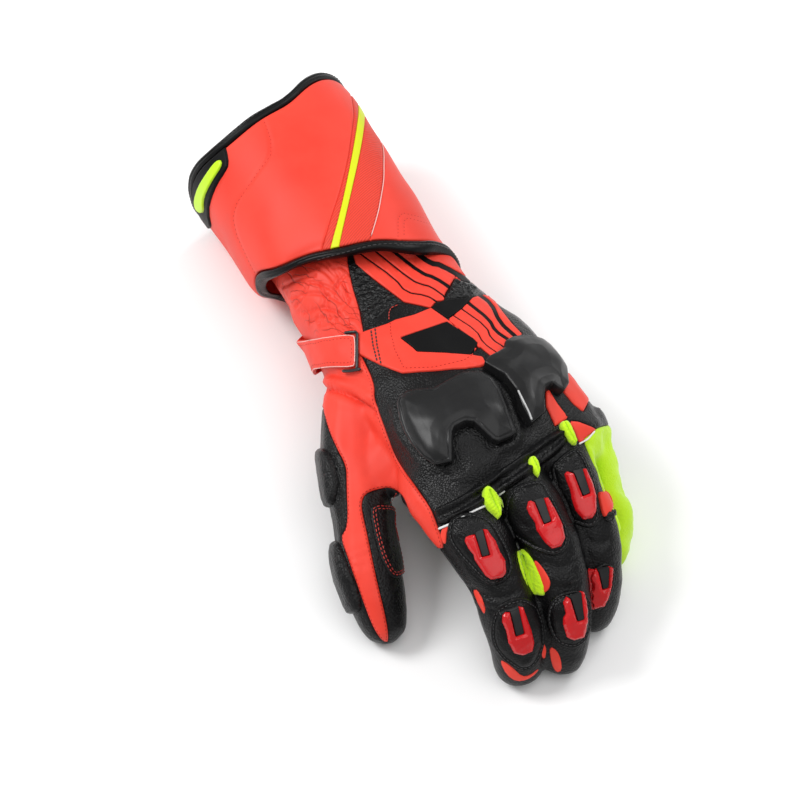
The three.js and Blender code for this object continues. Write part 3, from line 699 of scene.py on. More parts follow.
def leather(name, light, dark, rough, grain=1.0, depth=0.08, crease=0.0, crease_size=6.0, specular=0.5,
            sheen=0.0, ribs=None):
    """Leather with a pebbled grain of that size, fine pores and, if asked for, creases or fine ribs. The creases are
    darkened with painted shade.
    """
    nodes, links, shader, where = new_material(name)
    cells = texture(nodes, links, where, "ShaderNodeTexVoronoi", 1000 / grain)
    pores = texture(nodes, links, where, "ShaderNodeTexNoise", 2600.0, Detail=3.0)
    cloud = texture(nodes, links, where, "ShaderNodeTexNoise", 28.0, Detail=4.0, Roughness=0.6)
    shade = mixed(nodes, links, ramp(nodes, links, cloud.outputs["Fac"], 0.35, 0.65), dark, light)
    if ribs:
        bars = waves(nodes, links, where, 70, ribs)
        shade = mixed(nodes, links, bars.outputs["Fac"], shade, RIB_RED)
    lines = None
    if crease:
        for turn, size, mask_scale in ((2, crease_size, 45.0), (-24, 0.7 * crease_size, 70.0)):
            flow = waves(nodes, links, where, turn, size)
            flow.inputs["Distortion"].default_value = 7.0
            flow.inputs["Detail"].default_value = 3.0
            flow.inputs["Detail Scale"].default_value = 0.6
            mask = texture(nodes, links, where, "ShaderNodeTexNoise", mask_scale, Detail=1.0)
            near = maths(nodes, links, "MULTIPLY", ramp(nodes, links, flow.outputs["Fac"], 0.975, 1.0),
                         ramp(nodes, links, mask.outputs["Fac"], 0.46, 0.6))
            lines = near if lines is None else maths(nodes, links, "MAXIMUM", lines, near)
        # The crease lines are darkened here with painted shade.
        shade = mixed(nodes, links, maths(nodes, links, "MULTIPLY", lines, 0.5), shade, CREASE_SHADE_RED)
    links.new(shade, shader.inputs["Base Color"])
    patchy = ramp(nodes, links, cloud.outputs["Fac"], 0.3, 0.7, rough - 0.06, rough + 0.07)
    links.new(patchy, shader.inputs["Roughness"])
    shader.inputs["Specular IOR Level"].default_value = specular
    shader.inputs["Sheen Weight"].default_value = sheen
    height = maths(nodes, links, "MULTIPLY", pores.outputs["Fac"], 0.35)
    height = maths(nodes, links, "SUBTRACT", height, cells.outputs["Distance"])
    normal = bumped(nodes, links, shader, height, depth)
    if ribs:
        normal = bumped(nodes, links, shader, bars.outputs["Fac"], 0.12, before=normal)
    if crease:
        bumped(nodes, links, shader, maths(nodes, links, "MULTIPLY", lines, -1.0), crease, before=normal)


def plastic(name, light, dark, rough, depth=0.02, coat=0.0, specular=0.5):
    """Hard plastic, thread or piping with a faint unevenness."""
    nodes, links, shader, where = new_material(name)
    cloud = texture(nodes, links, where, "ShaderNodeTexNoise", 45.0, Detail=5.0, Roughness=0.65)
    fine = texture(nodes, links, where, "ShaderNodeTexNoise", 2200.0, Detail=2.0)
    links.new(mixed(nodes, links, ramp(nodes, links, cloud.outputs["Fac"], 0.35, 0.65), dark, light),
              shader.inputs["Base Color"])
    links.new(ramp(nodes, links, cloud.outputs["Fac"], 0.3, 0.7, rough - 0.05, rough + 0.06),
              shader.inputs["Roughness"])
    shader.inputs["Specular IOR Level"].default_value = specular
    shader.inputs["Coat Weight"].default_value = coat
    shader.inputs["Coat Roughness"].default_value = 0.08
    bumped(nodes, links, shader, fine.outputs["Fac"], depth)


RED = (0.78, 0.05, 0.028)
RED_DARK = (0.7, 0.038, 0.02)
NEON = (0.54, 0.84, 0.012)
NEON_DARK = (0.46, 0.74, 0.01)
BLACK = (0.0042, 0.0042, 0.0045)
BLACK_DARK = (0.003, 0.003, 0.0033)
YELLOW = (0.62, 0.68, 0.01)

leather("red_smooth", RED, RED_DARK, 0.52, grain=0.5, depth=0.02, specular=0.3)
# The creases of this leather are darkened with painted shade.
leather("red_creased", RED, RED_DARK, 0.5, grain=0.5, depth=0.03, crease=0.3, crease_size=5.0, specular=0.35)
leather("red_band", RED, RED_DARK, 0.55, grain=0.6, depth=0.03, specular=0.3, ribs=1.1)
leather("black_grain", BLACK, BLACK_DARK, 0.3, grain=1.0, depth=0.26, specular=0.2)
leather("black_smooth", BLACK, BLACK_DARK, 0.5, grain=0.6, depth=0.03, specular=0.1)
leather("black_pad", BLACK, BLACK_DARK, 0.3, grain=0.9, depth=0.2, specular=0.18)
leather("black_binding", BLACK, BLACK_DARK, 0.33, grain=0.8, depth=0.08, specular=0.15)
leather("black_stretch", BLACK, BLACK_DARK, 0.3, grain=1.3, depth=0.4, specular=0.25)
leather("neon_suede", NEON, NEON_DARK, 0.8, grain=0.9, depth=0.15, sheen=0.3, specular=0.2)
leather("yellow_stripe", YELLOW, (0.58, 0.64, 0.008), 0.5, grain=0.5, depth=0.01, specular=0.2)
plastic("guard_satin", (0.009, 0.009, 0.0095), (0.007, 0.007, 0.0073), 0.36, depth=0.012, specular=0.28)
# A light grey for a bar on the black guard: a painted highlight.
plastic("guard_edge", (0.5, 0.5, 0.5), (0.4, 0.4, 0.4), 0.25)
plastic("slider_gloss", (0.54, 0.009, 0.012), (0.48, 0.008, 0.01), 0.2, coat=0.15, specular=0.3)
plastic("insert_dark", (0.018, 0.018, 0.019), (0.013, 0.013, 0.0135), 0.4, specular=0.25)
plastic("badge_neon", NEON, NEON_DARK, 0.4, specular=0.3)
plastic("ring_black", (0.01, 0.01, 0.011), (0.007, 0.007, 0.008), 0.35)
# The black thread is given a dark grey: its own black with a painted highlight, so that the stitches show on black
# leather.
plastic("thread_black", (0.045, 0.045, 0.046), (0.03, 0.03, 0.031), 0.45, specular=0.4)
plastic("thread_red", (0.6, 0.045, 0.03), (0.5, 0.035, 0.025), 0.55)
plastic("thread_dark_red", (0.38, 0.016, 0.01), (0.3, 0.012, 0.008), 0.6, specular=0.2)
plastic("piping_white", (0.75, 0.75, 0.74), (0.68, 0.68, 0.68), 0.35)
plastic("piping_pink", (0.8, 0.45, 0.42), (0.75, 0.38, 0.35), 0.4)

# ---------------------------------------------------------------- the hand's skin
VOXEL = 1.7
hand = node_bmesh("hand_shell")
back_end = max(v.co.y for v in hand.verts)
cap_faces = [f for f in hand.faces if f.normal.y > 0.7 and f.calc_center_median().y > back_end - 0.04]
bmesh.ops.delete(hand, geom=cap_faces, context="FACES")
largest_island(hand)
open_end = [e for e in hand.edges if e.is_boundary]
end_points = np.array([v.co[:] for v in {v for e in open_end for v in e.verts}]) / MM
end_plane = np.linalg.lstsq(
    np.column_stack([np.ones(len(end_points)), end_points[:, 0], end_points[:, 2]]),
    end_points[:, 1], rcond=None)[0]
bmesh.ops.holes_fill(hand, edges=open_end, sides=0)

LITTLE_AXIS = np.array([
    [65.0, -70.0, 48.0], [63.0, -78.7, 44.0], [61.1, -95.2, 35.5], [55.6, -108.3, 26.5],
    [50.2, -116.9, 17.2], [47.0, -120.8, 10.2],
])


def off_axis(points, axis):
    """(vector from the nearest point of a line of points, its length)."""
    best = np.full(len(points), 1e9)
    way = np.zeros_like(points)
    for a, b in zip(axis[:-1], axis[1:]):
        run = b - a
        t = np.clip((points - a) @ run / (run @ run), 0, 1)
        away = points - a - t[:, None] * run
        length = np.linalg.norm(away, axis=1)
        nearer = length < best
        best[nearer] = length[nearer]
        way[nearer] = away[nearer]
    return way, best


ROOT_WAY = Vector(LITTLE_AXIS[0] - LITTLE_AXIS[1]).normalized()
stall = node_bmesh("little_finger_stall")
root_end = max(v.co.dot(ROOT_WAY) for v in stall.verts)
root_faces = [f for f in stall.faces
              if f.normal.dot(ROOT_WAY) > 0.6 and f.calc_center_median().dot(ROOT_WAY) > root_end - 0.012]
bmesh.ops.delete(stall, geom=root_faces, context="FACES")
largest_island(stall)
bmesh.ops.holes_fill(stall, edges=[e for e in stall.edges if e.is_boundary], sides=0)
add_to(hand, stall)


def ways_round(count):
    """Directions spread evenly over a ball."""
    turn = np.arange(count) * math.pi * (3 - math.sqrt(5))
    z = 1 - (np.arange(count) + 0.5) * 2 / count
    flat = np.sqrt(1 - z * z)
    return [Vector(way) for way in np.column_stack([np.cos(turn) * flat, np.sin(turn) * flat, z])]


def escapes(tree, start, normal, ways):
    """Whether any ray from start, on the normal's side, gets away from the faces of tree."""
    return any(way.dot(normal) > 0.15 and tree.ray_cast(start, way)[0] is None for way in ways)


# Only the outer wall of the hollow hand is kept.
wall_tree = BVHTree.FromBMesh(hand)
many_ways, few_ways = ways_round(64), ways_round(16)
wall_seen = np.array([
    escapes(wall_tree, face.calc_center_median() + face.normal * 5e-5, face.normal, many_ways)
    for face in hand.faces])
V, F = modified(hand, ("REMESH", {"mode": "VOXEL", "voxel_size": VOXEL * MM}))
N = normals_of(V, F)
nearest = [wall_tree.find_nearest(Vector(p * MM))[2] for p in V + 0.8 * N]
is_outer = wall_seen[nearest]
for k in np.nonzero(~is_outer)[0]:
    is_outer[k] = escapes(wall_tree, Vector((V[k] + 1.5 * N[k]) * MM), Vector(N[k]), few_ways)
outside = relaxed(np.where(is_outer, 1.0, -1.0)[:, None], F, 5)[:, 0]
V = evened(V, F, 16)
# Where the outline of the solid hand lies in the picture, and where the glove's does.
HAND_SHIFTS = [
    ((436, 514), (416, 518)), ((446, 535), (431, 537)), ((453, 550), (443, 551)), ((460, 568), (454, 568)),
    ((416, 486), (402, 500)), ((426, 500), (409, 510)), ((402, 510), (395, 511)), ((403, 532), (396, 532)),
    ((405, 556), (402, 556)), ((406, 580), (406, 580)), ((380, 480), (380, 480)), ((380, 530), (380, 530)),
    ((390, 455), (390, 455)), ((430, 470), (430, 470)), ((470, 510), (470, 510)), ((480, 550), (480, 550)),
    ((470, 592), (471, 592)), ((345, 560), (342, 560)), ((360, 600), (360, 600)),
    ((621, 446), (611, 446)), ((628, 475), (618, 475)), ((630, 499), (625, 499)), ((631, 515), (633, 515)),
    ((628, 548), (629, 548)), ((596, 440), (596, 440)), ((600, 500), (600, 500)),
    ((478, 270), (468, 270)), ((492, 288), (481, 289)), ((508, 305), (500, 306)), ((523, 325), (522, 325)),
    ((440, 285), (440, 285)), ((470, 312), (470, 312)),
]
V = shifted(V, HAND_SHIFTS, reach=15.0)
# Index and middle finger touch beside their first pads.
TOUCH_AT, TOUCH_REACH = np.array([512.0, 534.0]), 11.0
touch = np.exp(-((pixels(V) - TOUCH_AT) ** 2).sum(1) / (2 * TOUCH_REACH ** 2))
V = V + 1.0 * touch[:, None] * normals_of(V, F)
# Inside the cuff the wrist is drawn in, so that it stays clear of the cuff's wall.
IN_CUFF, IN_CUFF_RUN, CUFF_CLEAR = 58.0, 12.0, 3.0
V = V - CUFF_CLEAR * np.clip((V[:, 1] - IN_CUFF) / IN_CUFF_RUN, 0, 1)[:, None] * normals_of(V, F)
V[:, 2] = np.maximum(V[:, 2], 0.0)

hand_skin, _ = split(skin_of(V, F, 22), outside)
V = hand_skin["V"]
end_at = end_plane[0] + V[:, 0] * end_plane[1] + V[:, 2] * end_plane[2] - 3.0
hand_skin, _ = split(hand_skin, end_at - V[:, 1])
hand_skin = main_island(hand_skin)

# ---------------------------------------------------------------- lights and floor
floor_mesh = bpy.data.meshes.new("floor")
floor_mesh.from_pydata([(-4, -4, 0), (4, -4, 0), (4, 4, 0), (-4, 4, 0)], [], [(0, 1, 2, 3)])
floor = bpy.data.objects.new("floor", floor_mesh)
bpy.context.scene.collection.objects.link(floor)
nodes, links, shader, where = new_material("floor_pale")
haze = texture(nodes, links, where, "ShaderNodeTexNoise", 3.0)
links.new(mixed(nodes, links, haze.outputs["Fac"], (0.9, 0.9, 0.9), (0.92, 0.92, 0.92)),
          shader.inputs["Base Color"])
shader.inputs["Roughness"].default_value = 0.9
floor_mesh.materials.append(materials["floor_pale"])


def light(name, place, size, power):
    data = bpy.data.lights.new(name, "AREA")
    data.size = size
    data.energy = power
    lamp = bpy.data.objects.new(name, data)
    lamp.location = place
    lamp.rotation_mode = "QUATERNION"
    lamp.rotation_quaternion = (Vector(place) - Vector((0, 0, 0.03))).to_track_quat("Z", "Y")
    bpy.context.scene.collection.objects.link(lamp)


light("key", (-0.9, 0.8, 1.4), 0.75, 22.0)
light("fill", (1.2, 0.2, 1.2), 0.8, 10.0)
light("top", (0.0, -0.7, 1.9), 1.6, 13.0)
world = bpy.data.worlds.new("world")
world.use_nodes = True
world.node_tree.nodes["Background"].inputs[0].default_value = (1, 1, 1, 1)
world.node_tree.nodes["Background"].inputs[1].default_value = 0.5
bpy.context.scene.world = world

# ---------------------------------------------------------------- folds on the hand
HAND_FOLDS = [
    # the fold over the thumb's root
    ([(320, 388), (338, 391), (354, 397), (367, 404), (375, 413)], -2.8, 1.2),
    ([(322, 381), (340, 384), (357, 390), (370, 398)], 2.2, 2.6),
    ([(322, 397), (338, 400), (352, 406), (364, 414)], 0.7, 2.6),
    ([(318, 373), (336, 375), (352, 376), (366, 378)], -0.9, 1.6),
    # the leather's ridge round the knuckle guard
    ([(471, 369), (488, 376), (503, 392), (514, 417), (520, 436), (512, 446), (500, 449)], 1.5, 1.8),
    ([(394, 410), (397, 428), (408, 447), (420, 461), (433, 468), (450, 467)], 1.0, 1.8),
    # creases between the joints of the fingers
    ([(470, 588), (488, 597), (508, 598), (516, 592)], -0.9, 1.4),
    ([(478, 600), (496, 605), (512, 603)], 0.7, 1.6),
    ([(482, 607), (498, 612), (512, 610)], -0.5, 1.0),
    ([(546, 562), (556, 568), (568, 566), (576, 558)], -0.8, 1.4),
    ([(553, 578), (563, 582), (574, 578)], 0.6, 1.6),
    ([(555, 586), (566, 588), (578, 582)], -0.6, 1.1),
    ([(588, 540), (597, 545), (606, 541)], -0.7, 1.4),
    ([(592, 552), (601, 555), (609, 549)], 0.5, 1.5),
    ([(500, 578), (516, 575)], -0.5, 1.2),
    # soft bends of the black leather on the back of the hand
    ([(378, 384), (392, 380), (410, 376)], 0.5, 3.0),
    ([(400, 470), (420, 486), (432, 500)], -0.5, 2.0),
    ([(330, 470), (331, 490), (336, 505)], 0.4, 3.0),
    ([(352, 560), (364, 556), (374, 552)], -0.35, 0.9),
    ([(350, 553), (362, 548), (372, 544)], -0.3, 0.8),
    ([(352, 568), (366, 566), (376, 563)], -0.25, 0.8),
]
WRIST_FOLDS = [
    ([(326, 266), (340, 280), (348, 293), (353, 318)], -0.9, 1.2),
    ([(294, 297), (313, 293), (332, 297), (344, 304)], -0.6, 1.3),
    ([(302, 312), (324, 306), (340, 314), (351, 327)], -0.8, 1.2),
    ([(323, 322), (336, 318), (349, 324), (359, 333)], -0.7, 1.2),
    ([(313, 276), (323, 285), (330, 304), (328, 325)], -0.4, 1.4),
    ([(282, 295), (294, 314), (305, 331)], -0.5, 1.6),
    ([(285, 285), (300, 281), (318, 284)], -0.4, 1.4),
    ([(350, 330), (352, 350), (354, 368)], -0.4, 1.4),
]


def folded(skin):
    push = ridges(skin, HAND_FOLDS + WRIST_FOLDS)
    push += 0.22 * ripple(skin["V"], 26.0, 3) + 0.09 * ripple(skin["V"], 9.0, 4)
    low = np.clip(skin["V"][:, 2] / 2.0, 0, 1)
    V = skin["V"] + (push * low)[:, None] * skin["N"]
    return {**skin, "V": V, "N": normals_of(V, skin["F"])}


even_skin = hand_skin
hand_skin = folded(hand_skin)

# ---------------------------------------------------------------- the hand's panels
THUMB_RED = [
    (358, 350), (362, 358), (367, 368), (373, 384), (374, 403), (384, 430), (392, 453), (400, 468),
    (415, 486), (430, 507), (438, 530), (444, 552), (430, 545), (413, 520), (406, 504), (400, 493),
    (387, 487), (366, 492), (361, 502), (362, 512), (370, 547), (378, 584), (387, 621), (390, 648),
    (374, 634), (356, 584), (346, 555), (339, 536), (347, 528), (346, 484), (346, 465), (334, 445),
    (325, 422), (322, 403), (300, 395), (290, 372), (294, 356), (320, 354),
]
WRIST_RED = [
    (346, 225), (347, 258), (349, 270), (353, 289), (358, 305), (361, 320), (364, 340), (358, 350),
    (320, 354), (294, 356), (270, 330), (240, 290), (260, 240),
]
STRIPED_UPPER = [
    (345, 225), (354, 257), (356, 265), (376, 280), (395, 294), (404, 301), (418, 304), (431, 307),
    (436, 300), (444, 300), (445, 293), (455, 277), (470, 282), (474, 277), (464, 264), (450, 235),
]
STRIPED_LOWER = [
    (448, 319), (461, 309), (473, 297), (483, 294), (492, 296), (502, 310), (512, 323), (523, 334),
    (505, 350), (497, 362), (490, 354), (479, 345), (471, 354), (478, 342), (462, 330),
]
UPPER_LINES = [  # (points, width in mm)
    ([(352, 247), (361, 254), (395, 278), (406, 292), (427, 295), (437, 301)], 0.7),
    ([(370, 246), (378, 253), (412, 280), (422, 284), (431, 286), (445, 296)], 0.8),
    ([(385, 243), (395, 252), (422, 273), (435, 277), (452, 288)], 1.7),
    ([(408, 243), (415, 251), (431, 263), (441, 264), (475, 284)], 2.6),
]
LOWER_LINES = [
    ([(452, 314), (477, 330), (483, 342), (497, 352)], 0.6),
    ([(460, 307), (487, 326), (491, 338), (505, 347)], 0.7),
    ([(467, 301), (490, 319), (495, 330), (510, 340)], 1.7),
    ([(478, 293), (492, 303), (500, 322), (516, 336)], 2.0),
]
SIDE_REDS = [
    [(545, 384), (547, 406), (556, 426), (569, 417), (558, 403), (549, 388)],
    [(563, 390), (568, 372), (580, 372), (590, 400), (584, 411), (574, 403)],
    [(569, 420), (579, 421), (594, 427), (602, 433), (581, 443), (574, 429)],
]
LITTLE_EDGE = [
    (574, 444), (583, 441), (590, 457), (598, 487), (604, 510), (609, 528), (613, 545),
    (612, 580), (660, 600), (680, 500),
    (640, 420), (600, 426), (590, 436),
]
LITTLE_ROOT = np.array([63.5, -80.0, 44.0])
LITTLE_WAY = np.array([-0.11, -0.86, -0.5])
RING_AXIS = np.array([
    [39.5, -70.0, 62.0], [37.4, -92.0, 57.0], [36.8, -108.2, 46.0], [32.7, -125.5, 35.0],
    [28.0, -137.2, 25.0], [21.0, -145.0, 11.0],
])
INDEX_AXIS = np.array([
    [-13.0, -74.0, 60.0], [-15.0, -94.0, 56.0], [-17.8, -111.5, 49.0], [-20.1, -128.3, 39.0],
    [-21.8, -140.2, 29.0], [-24.0, -150.9, 10.5],
])
MIDDLE_AXIS = np.array([
    [11.0, -72.0, 64.0], [11.0, -94.0, 60.0], [12.2, -113.6, 52.0], [8.6, -131.0, 42.0],
    [4.3, -144.4, 31.0], [-3.8, -156.7, 10.4],
])


def side_of(at, points):
    """Distance in mm from a line whose ends go on for ever, positive on one side of it."""
    P = np.array(points, dtype=float)
    best = np.full(len(at), np.inf)
    side = np.zeros(len(at))
    for k, (a, b) in enumerate(zip(P[:-1], P[1:])):
        way = b - a
        t = (at - a) @ way / (way @ way)
        t = np.clip(t, -np.inf if k == 0 else 0, np.inf if k == len(P) - 2 else 1)
        off = at - a - t[:, None] * way
        length = np.linalg.norm(off, axis=1)
        nearer = length < best
        best[nearer] = length[nearer]
        side[nearer] = np.sign(way[0] * off[nearer, 1] - way[1] * off[nearer, 0])
    return best * side * PIXEL


def joined(skins):
    out = {key: np.concatenate([skin[key] for skin in skins]) for key in skins[0] if key != "F"}
    starts = np.cumsum([0] + [len(skin["V"]) for skin in skins[:-1]])
    out["F"] = np.concatenate([skin["F"] + start for skin, start in zip(skins, starts)])
    return out


def striped_by(patch, lines, height=0.8):
    """(the patch without bands along some lines, the bands)."""
    bands = []
    for points, width in lines:
        off = side_of(pixels(patch["V"] + height * patch["N"]), rounded(points, 1, closed=False))
        patch = {**patch, "off": off}
        for level in (width / 2, -width / 2):
            patch, _ = cut(patch, patch["off"], level, snap=0.01)
        off = patch.pop("off")
        inside = np.abs(off[patch["F"]].mean(1)) < width / 2
        bands.append(part_of(patch, inside))
        patch = part_of(patch, ~inside)
    return patch, joined(bands)


rest = hand_skin
_, to_little = off_axis(rest["V"], LITTLE_AXIS)
_, to_ring = off_axis(rest["V"], RING_AXIS)
_, to_middle = off_axis(rest["V"], MIDDLE_AXIS)
_, to_index = off_axis(rest["V"], INDEX_AXIS)
hidden = -facing(rest, 0.12)
past_root = (rest["V"] - LITTLE_ROOT) @ LITTLE_WAY
little = np.maximum(
    np.minimum(drawn(rest, LITTLE_EDGE, 0.8, wrap=0.0), past_root + 14.0),
    np.minimum(np.minimum((to_ring - to_little) / 2 - 1.0, past_root), hidden),
)
little = np.minimum(little, 26.0 - to_little)
neon_little, rest = split(rest, little)
thumb_red, rest = split(rest, drawn(rest, THUMB_RED, 0.8, wrap=0.45))
wrist_red, rest = split(rest, drawn(rest, WRIST_RED, 0.8, wrap=0.75))
striped, rest = split(rest, drawn(rest, STRIPED_UPPER, 0.8, rounds=0, wrap=0.1))
striped, upper_bands = striped_by(striped, UPPER_LINES)
striped_low, rest = split(rest, drawn(rest, STRIPED_LOWER, 0.8, rounds=0, wrap=0.1))
striped_low, lower_bands = striped_by(striped_low, LOWER_LINES)
side_reds = []
for outline in SIDE_REDS:
    patch, rest = split(rest, drawn(rest, outline, 0.8, rounds=0, wrap=0.35))
    side_reds.append(patch)

leather_edge = [(0, -0.15), (0.25, 0.35), (0.7, 0.72), (1.4, 0.9), (2.5, 0.95)]
thumb_red, thumb_top, thumb_d, _ = layer(
    "hand_thumb_red", thumb_red, leather_edge, "red_smooth", "red_leather", under=-0.6)
CREASES = [
    [(328, 262), (338, 272), (345, 286), (349, 305), (350, 322)],
    [(318, 268), (330, 276), (340, 290), (346, 306), (349, 326)],
    [(306, 282), (322, 284), (336, 292), (345, 302)],
    [(294, 297), (313, 293), (332, 297), (343, 305)],
    [(306, 314), (324, 307), (340, 313), (350, 325)],
    [(312, 322), (326, 316), (339, 320), (351, 331)],
    [(323, 326), (336, 322), (349, 328), (357, 336)],
    [(330, 300), (328, 312), (334, 324), (345, 333)],
    [(321, 285), (327, 298), (326, 312), (321, 324)],
    [(340, 282), (331, 294), (324, 308), (319, 318)],
    [(351, 300), (341, 312), (333, 326)],
    [(346, 276), (338, 284), (334, 296)],
    [(334, 268), (344, 268), (350, 276)],
    [(285, 286), (300, 280), (316, 276)],
    [(298, 306), (305, 296), (309, 284)],
]


def creased(skin, d):
    at = pixels(skin["V"])
    seen = np.clip(skin["S"] @ BACK / 0.15, 0, 1)
    total = np.zeros(len(at))
    for k, points in enumerate(CREASES):
        away = line_distance(at, rounded(points, 2, closed=False))
        lip = 0.22 * np.exp(-((away - 1.4) / 0.8) ** 2)
        total += lip - (0.55 + 0.15 * (k % 3)) * np.exp(-(away / 0.6) ** 2)
    return total * seen


layer(
    "wrist_red", wrist_red, leather_edge, "red_creased", "red_leather", under=-0.9, fine=1, extra=creased)
layer("wrist_striped", striped, [(0, 0.2), (0.2, 0.7)], "red_smooth", "red_leather", under=-0.6)
layer("hand_striped", striped_low, [(0, 0.2), (0.2, 0.7)], "red_smooth", "red_leather", under=-0.6)
for name, bands in (("wrist_stripes_black", upper_bands), ("hand_stripes_black", lower_bands)):
    layer(name, bands, [(0, 0.3), (0.1, 0.35)], "black_smooth", "black_leather", under=-0.6)
for k, patch in enumerate(side_reds):
    layer(f"hand_side_red_{k + 1}", patch, [(0, 0.0), (0.25, 0.5), (0.8, 0.8)], "red_smooth",
          "red_leather", under=-0.6)


def lumps(skin, d):
    """The uneven surface of the soft little finger."""
    return 0.55 * ripple(skin["V"], 11.0, 8) * np.clip(d / 3, 0, 1) + 0.18 * ripple(skin["V"], 4.0, 9)


layer("little_finger", neon_little, [(0, 0.0), (0.5, 0.6), (1.6, 1.0)], "neon_suede", "neon_leather",
      under=-0.6, extra=lumps, nodes=["little_finger_stall"])
base, *_ = layer(
    "hand_black", rest, [(0, -0.1), (0.4, 0.2), (1.0, 0.4)], "black_grain", "black_leather", under=-0.7,
    nodes=["hand_shell"])

thumb_over = {**thumb_red, "V": thumb_red["V"] + thumb_top[:, None] * thumb_red["N"]}
stitched("stitches_thumb", chains(thumb_over, thumb_d, 0.9), "thread_dark_red", "red_leather", pitch=2.0, length=1.2,
         width=0.38, lift=0.02)

# ---------------------------------------------------------------- overlays on the hand


def overlay(name, points, profile, look, slot, height, rounds=2, wrap=0.0, fine=1, holes=(), near=True, field=None,
            rough=0.0, skin=None, **more):
    """A layer on the hand with an outline in the picture."""
    skin = {**(hand_skin if skin is None else skin)}
    if field is not None:
        skin["field"] = field
    # The skin round the outline is refined first, so that the cut is exact.
    inside = drawn(skin, points, height, rounds, wrap)
    skin = part_of(skin, (inside[skin["F"]] > -4.0).any(1))
    for _ in range(fine):
        skin = divided(skin)
    skin["V"] = evened(skin["V"], skin["F"], 4)
    skin["N"] = normals_of(skin["V"], skin["F"])
    inside = drawn(skin, points, height, rounds, wrap)
    if rough:
        inside = inside + rough * ripple(skin["V"], 2.2, 5)
    for hole in holes:
        at = pixels(skin["V"] + height * skin["N"])
        inside = np.minimum(inside, -within(at, np.array(hole)))
    if field is not None:
        inside = np.minimum(inside, skin.pop("field"))
    patch, _ = split(skin, inside)
    if near:
        patch = main_island(patch)
    return layer(name, patch, profile, look, slot, **more)


def top_lines(made, level):
    skin, top, d, _ = made
    return chains({**skin, "V": skin["V"] + top[:, None] * skin["N"]}, d, level)


# The arrow-shaped panel with its dark lozenge.
PANEL = [
    (356, 334), (366, 330), (387, 323), (395, 319), (414, 314), (431, 307), (448, 319), (478, 342), (472, 354),
    (483, 356), (487, 364), (471, 367), (452, 368), (433, 370), (402, 372), (390, 368), (379, 364), (356, 353),
]
LOZENGE = [(400, 337), (447, 321), (474, 338), (478, 343), (471, 354), (444, 352), (417, 351), (413, 347)]
panel = overlay("strap_anchor", PANEL, [(0, 0.5), (0.25, 1.2), (0.8, 1.45)], "red_smooth", "red_leather", 1.4,
                rounds=0, holes=[LOZENGE], nodes=["strap_anchor_panel"])
overlay("strap_anchor_lozenge", LOZENGE, [(0, 0.5), (0.3, 1.15)], "black_smooth", "black_leather", 1.2, rounds=0)


def crinkled(skin, d):
    """The gathered surface of the stretch leather."""
    return (0.45 * ripple(skin["V"], 3.6, 41) + 0.25 * ripple(skin["V"], 2.0, 42)) * np.clip(d, 0, 1)


STRETCH = [
    (347, 258), (354, 261), (376, 281), (395, 295), (403, 302), (394, 305), (386, 310), (378, 317),
    (364, 322), (358, 305), (353, 289), (349, 270),
]
STRETCH_SMALL = [(455, 278), (479, 288), (472, 297), (445, 298)]
overlay("wrist_stretch", STRETCH, [(0, 0.3), (0.5, 0.8)], "black_stretch", "black_leather", 0.7,
        rounds=0, extra=crinkled)
overlay("wrist_stretch_small", STRETCH_SMALL, [(0, 0.3), (0.4, 0.8)], "black_stretch", "black_leather",
        0.7, rounds=0, wrap=0.1, fine=2, extra=crinkled)
overlay("wrist_diamond", [(431, 307), (443, 300), (473, 297), (461, 309), (448, 318)], [(0, 0.5), (0.2, 0.85)],
        "black_smooth", "black_leather", 0.8, rounds=0)

# The knuckle guards.
GUARD = [
    (396, 403), (399, 395), (407, 390), (420, 388), (434, 387), (448, 379), (463, 371), (482, 371), (493, 377),
    (500, 388), (507, 405), (512, 418), (517, 431), (513, 435), (499, 441), (493, 439), (481, 428), (474, 421),
    (465, 420), (455, 425), (452, 431), (452, 461), (434, 465), (422, 457), (411, 444), (404, 433), (399, 420),
]
GUARD_FOLDS = [
    ([(400, 415), (430, 424), (452, 413), (480, 402), (503, 408)], 0.9, 5.0),
    ([(404, 398), (414, 428), (432, 458)], 0.6, 4.0),
]
GUARD_ROWS = [
    (0, 4.4), (0.2, 5.3), (0.6, 5.6), (1.3, 5.7), (1.7, 5.45), (2.2, 5.75), (5.0, 6.3), (9.0, 6.9),
    (14.0, 7.2),
]
overlay("knuckle_guard_shell", GUARD, GUARD_ROWS, "guard_satin", "hard_black", 5.6, rounds=0, under=-0.2, sharp=35,
        skin=even_skin, extra=lambda skin, d: ridges(skin, GUARD_FOLDS, 5.5) * np.clip(d / 4, 0, 1),
        nodes=["knuckle_guard"])
SIDE_GUARD = [
    (484, 361), (489, 355), (497, 351), (504, 347), (505, 340), (512, 336), (522, 334), (534, 335), (543, 338),
    (551, 344), (558, 352), (564, 360), (568, 367), (570, 382), (565, 390), (558, 386), (553, 382), (546, 386),
    (545, 396), (546, 411), (532, 423), (524, 408), (516, 388), (505, 374), (494, 367),
]
SIDE_FOLDS = [
    ([(505, 374), (516, 382), (540, 378), (560, 374)], 0.9, 5.0),
    ([(508, 344), (530, 356), (556, 358)], 0.9, 5.0),
]
overlay("knuckle_guard_side_shell", SIDE_GUARD, [(0, 4.2), (0.2, 5.3), (0.7, 5.7), (4.0, 6.3), (9.0, 7.0)],
        "guard_satin", "hard_black", 5.6, rounds=0, wrap=0.25, under=-0.2, sharp=35, skin=even_skin,
        extra=lambda skin, d: ridges(skin, SIDE_FOLDS, 5.5) * np.clip(d / 4, 0, 1), nodes=["knuckle_guard_side"])
# A light grey bar along the side guard's left ridge: a painted highlight.
points, normals = seen_on(even_skin, [(518, 390), (524, 402), (529, 412), (532, 420)], 5.9)
swept("knuckle_guard_side_edge", points, normals, 0.5, "guard_edge", "hard_black", flat=0.8)

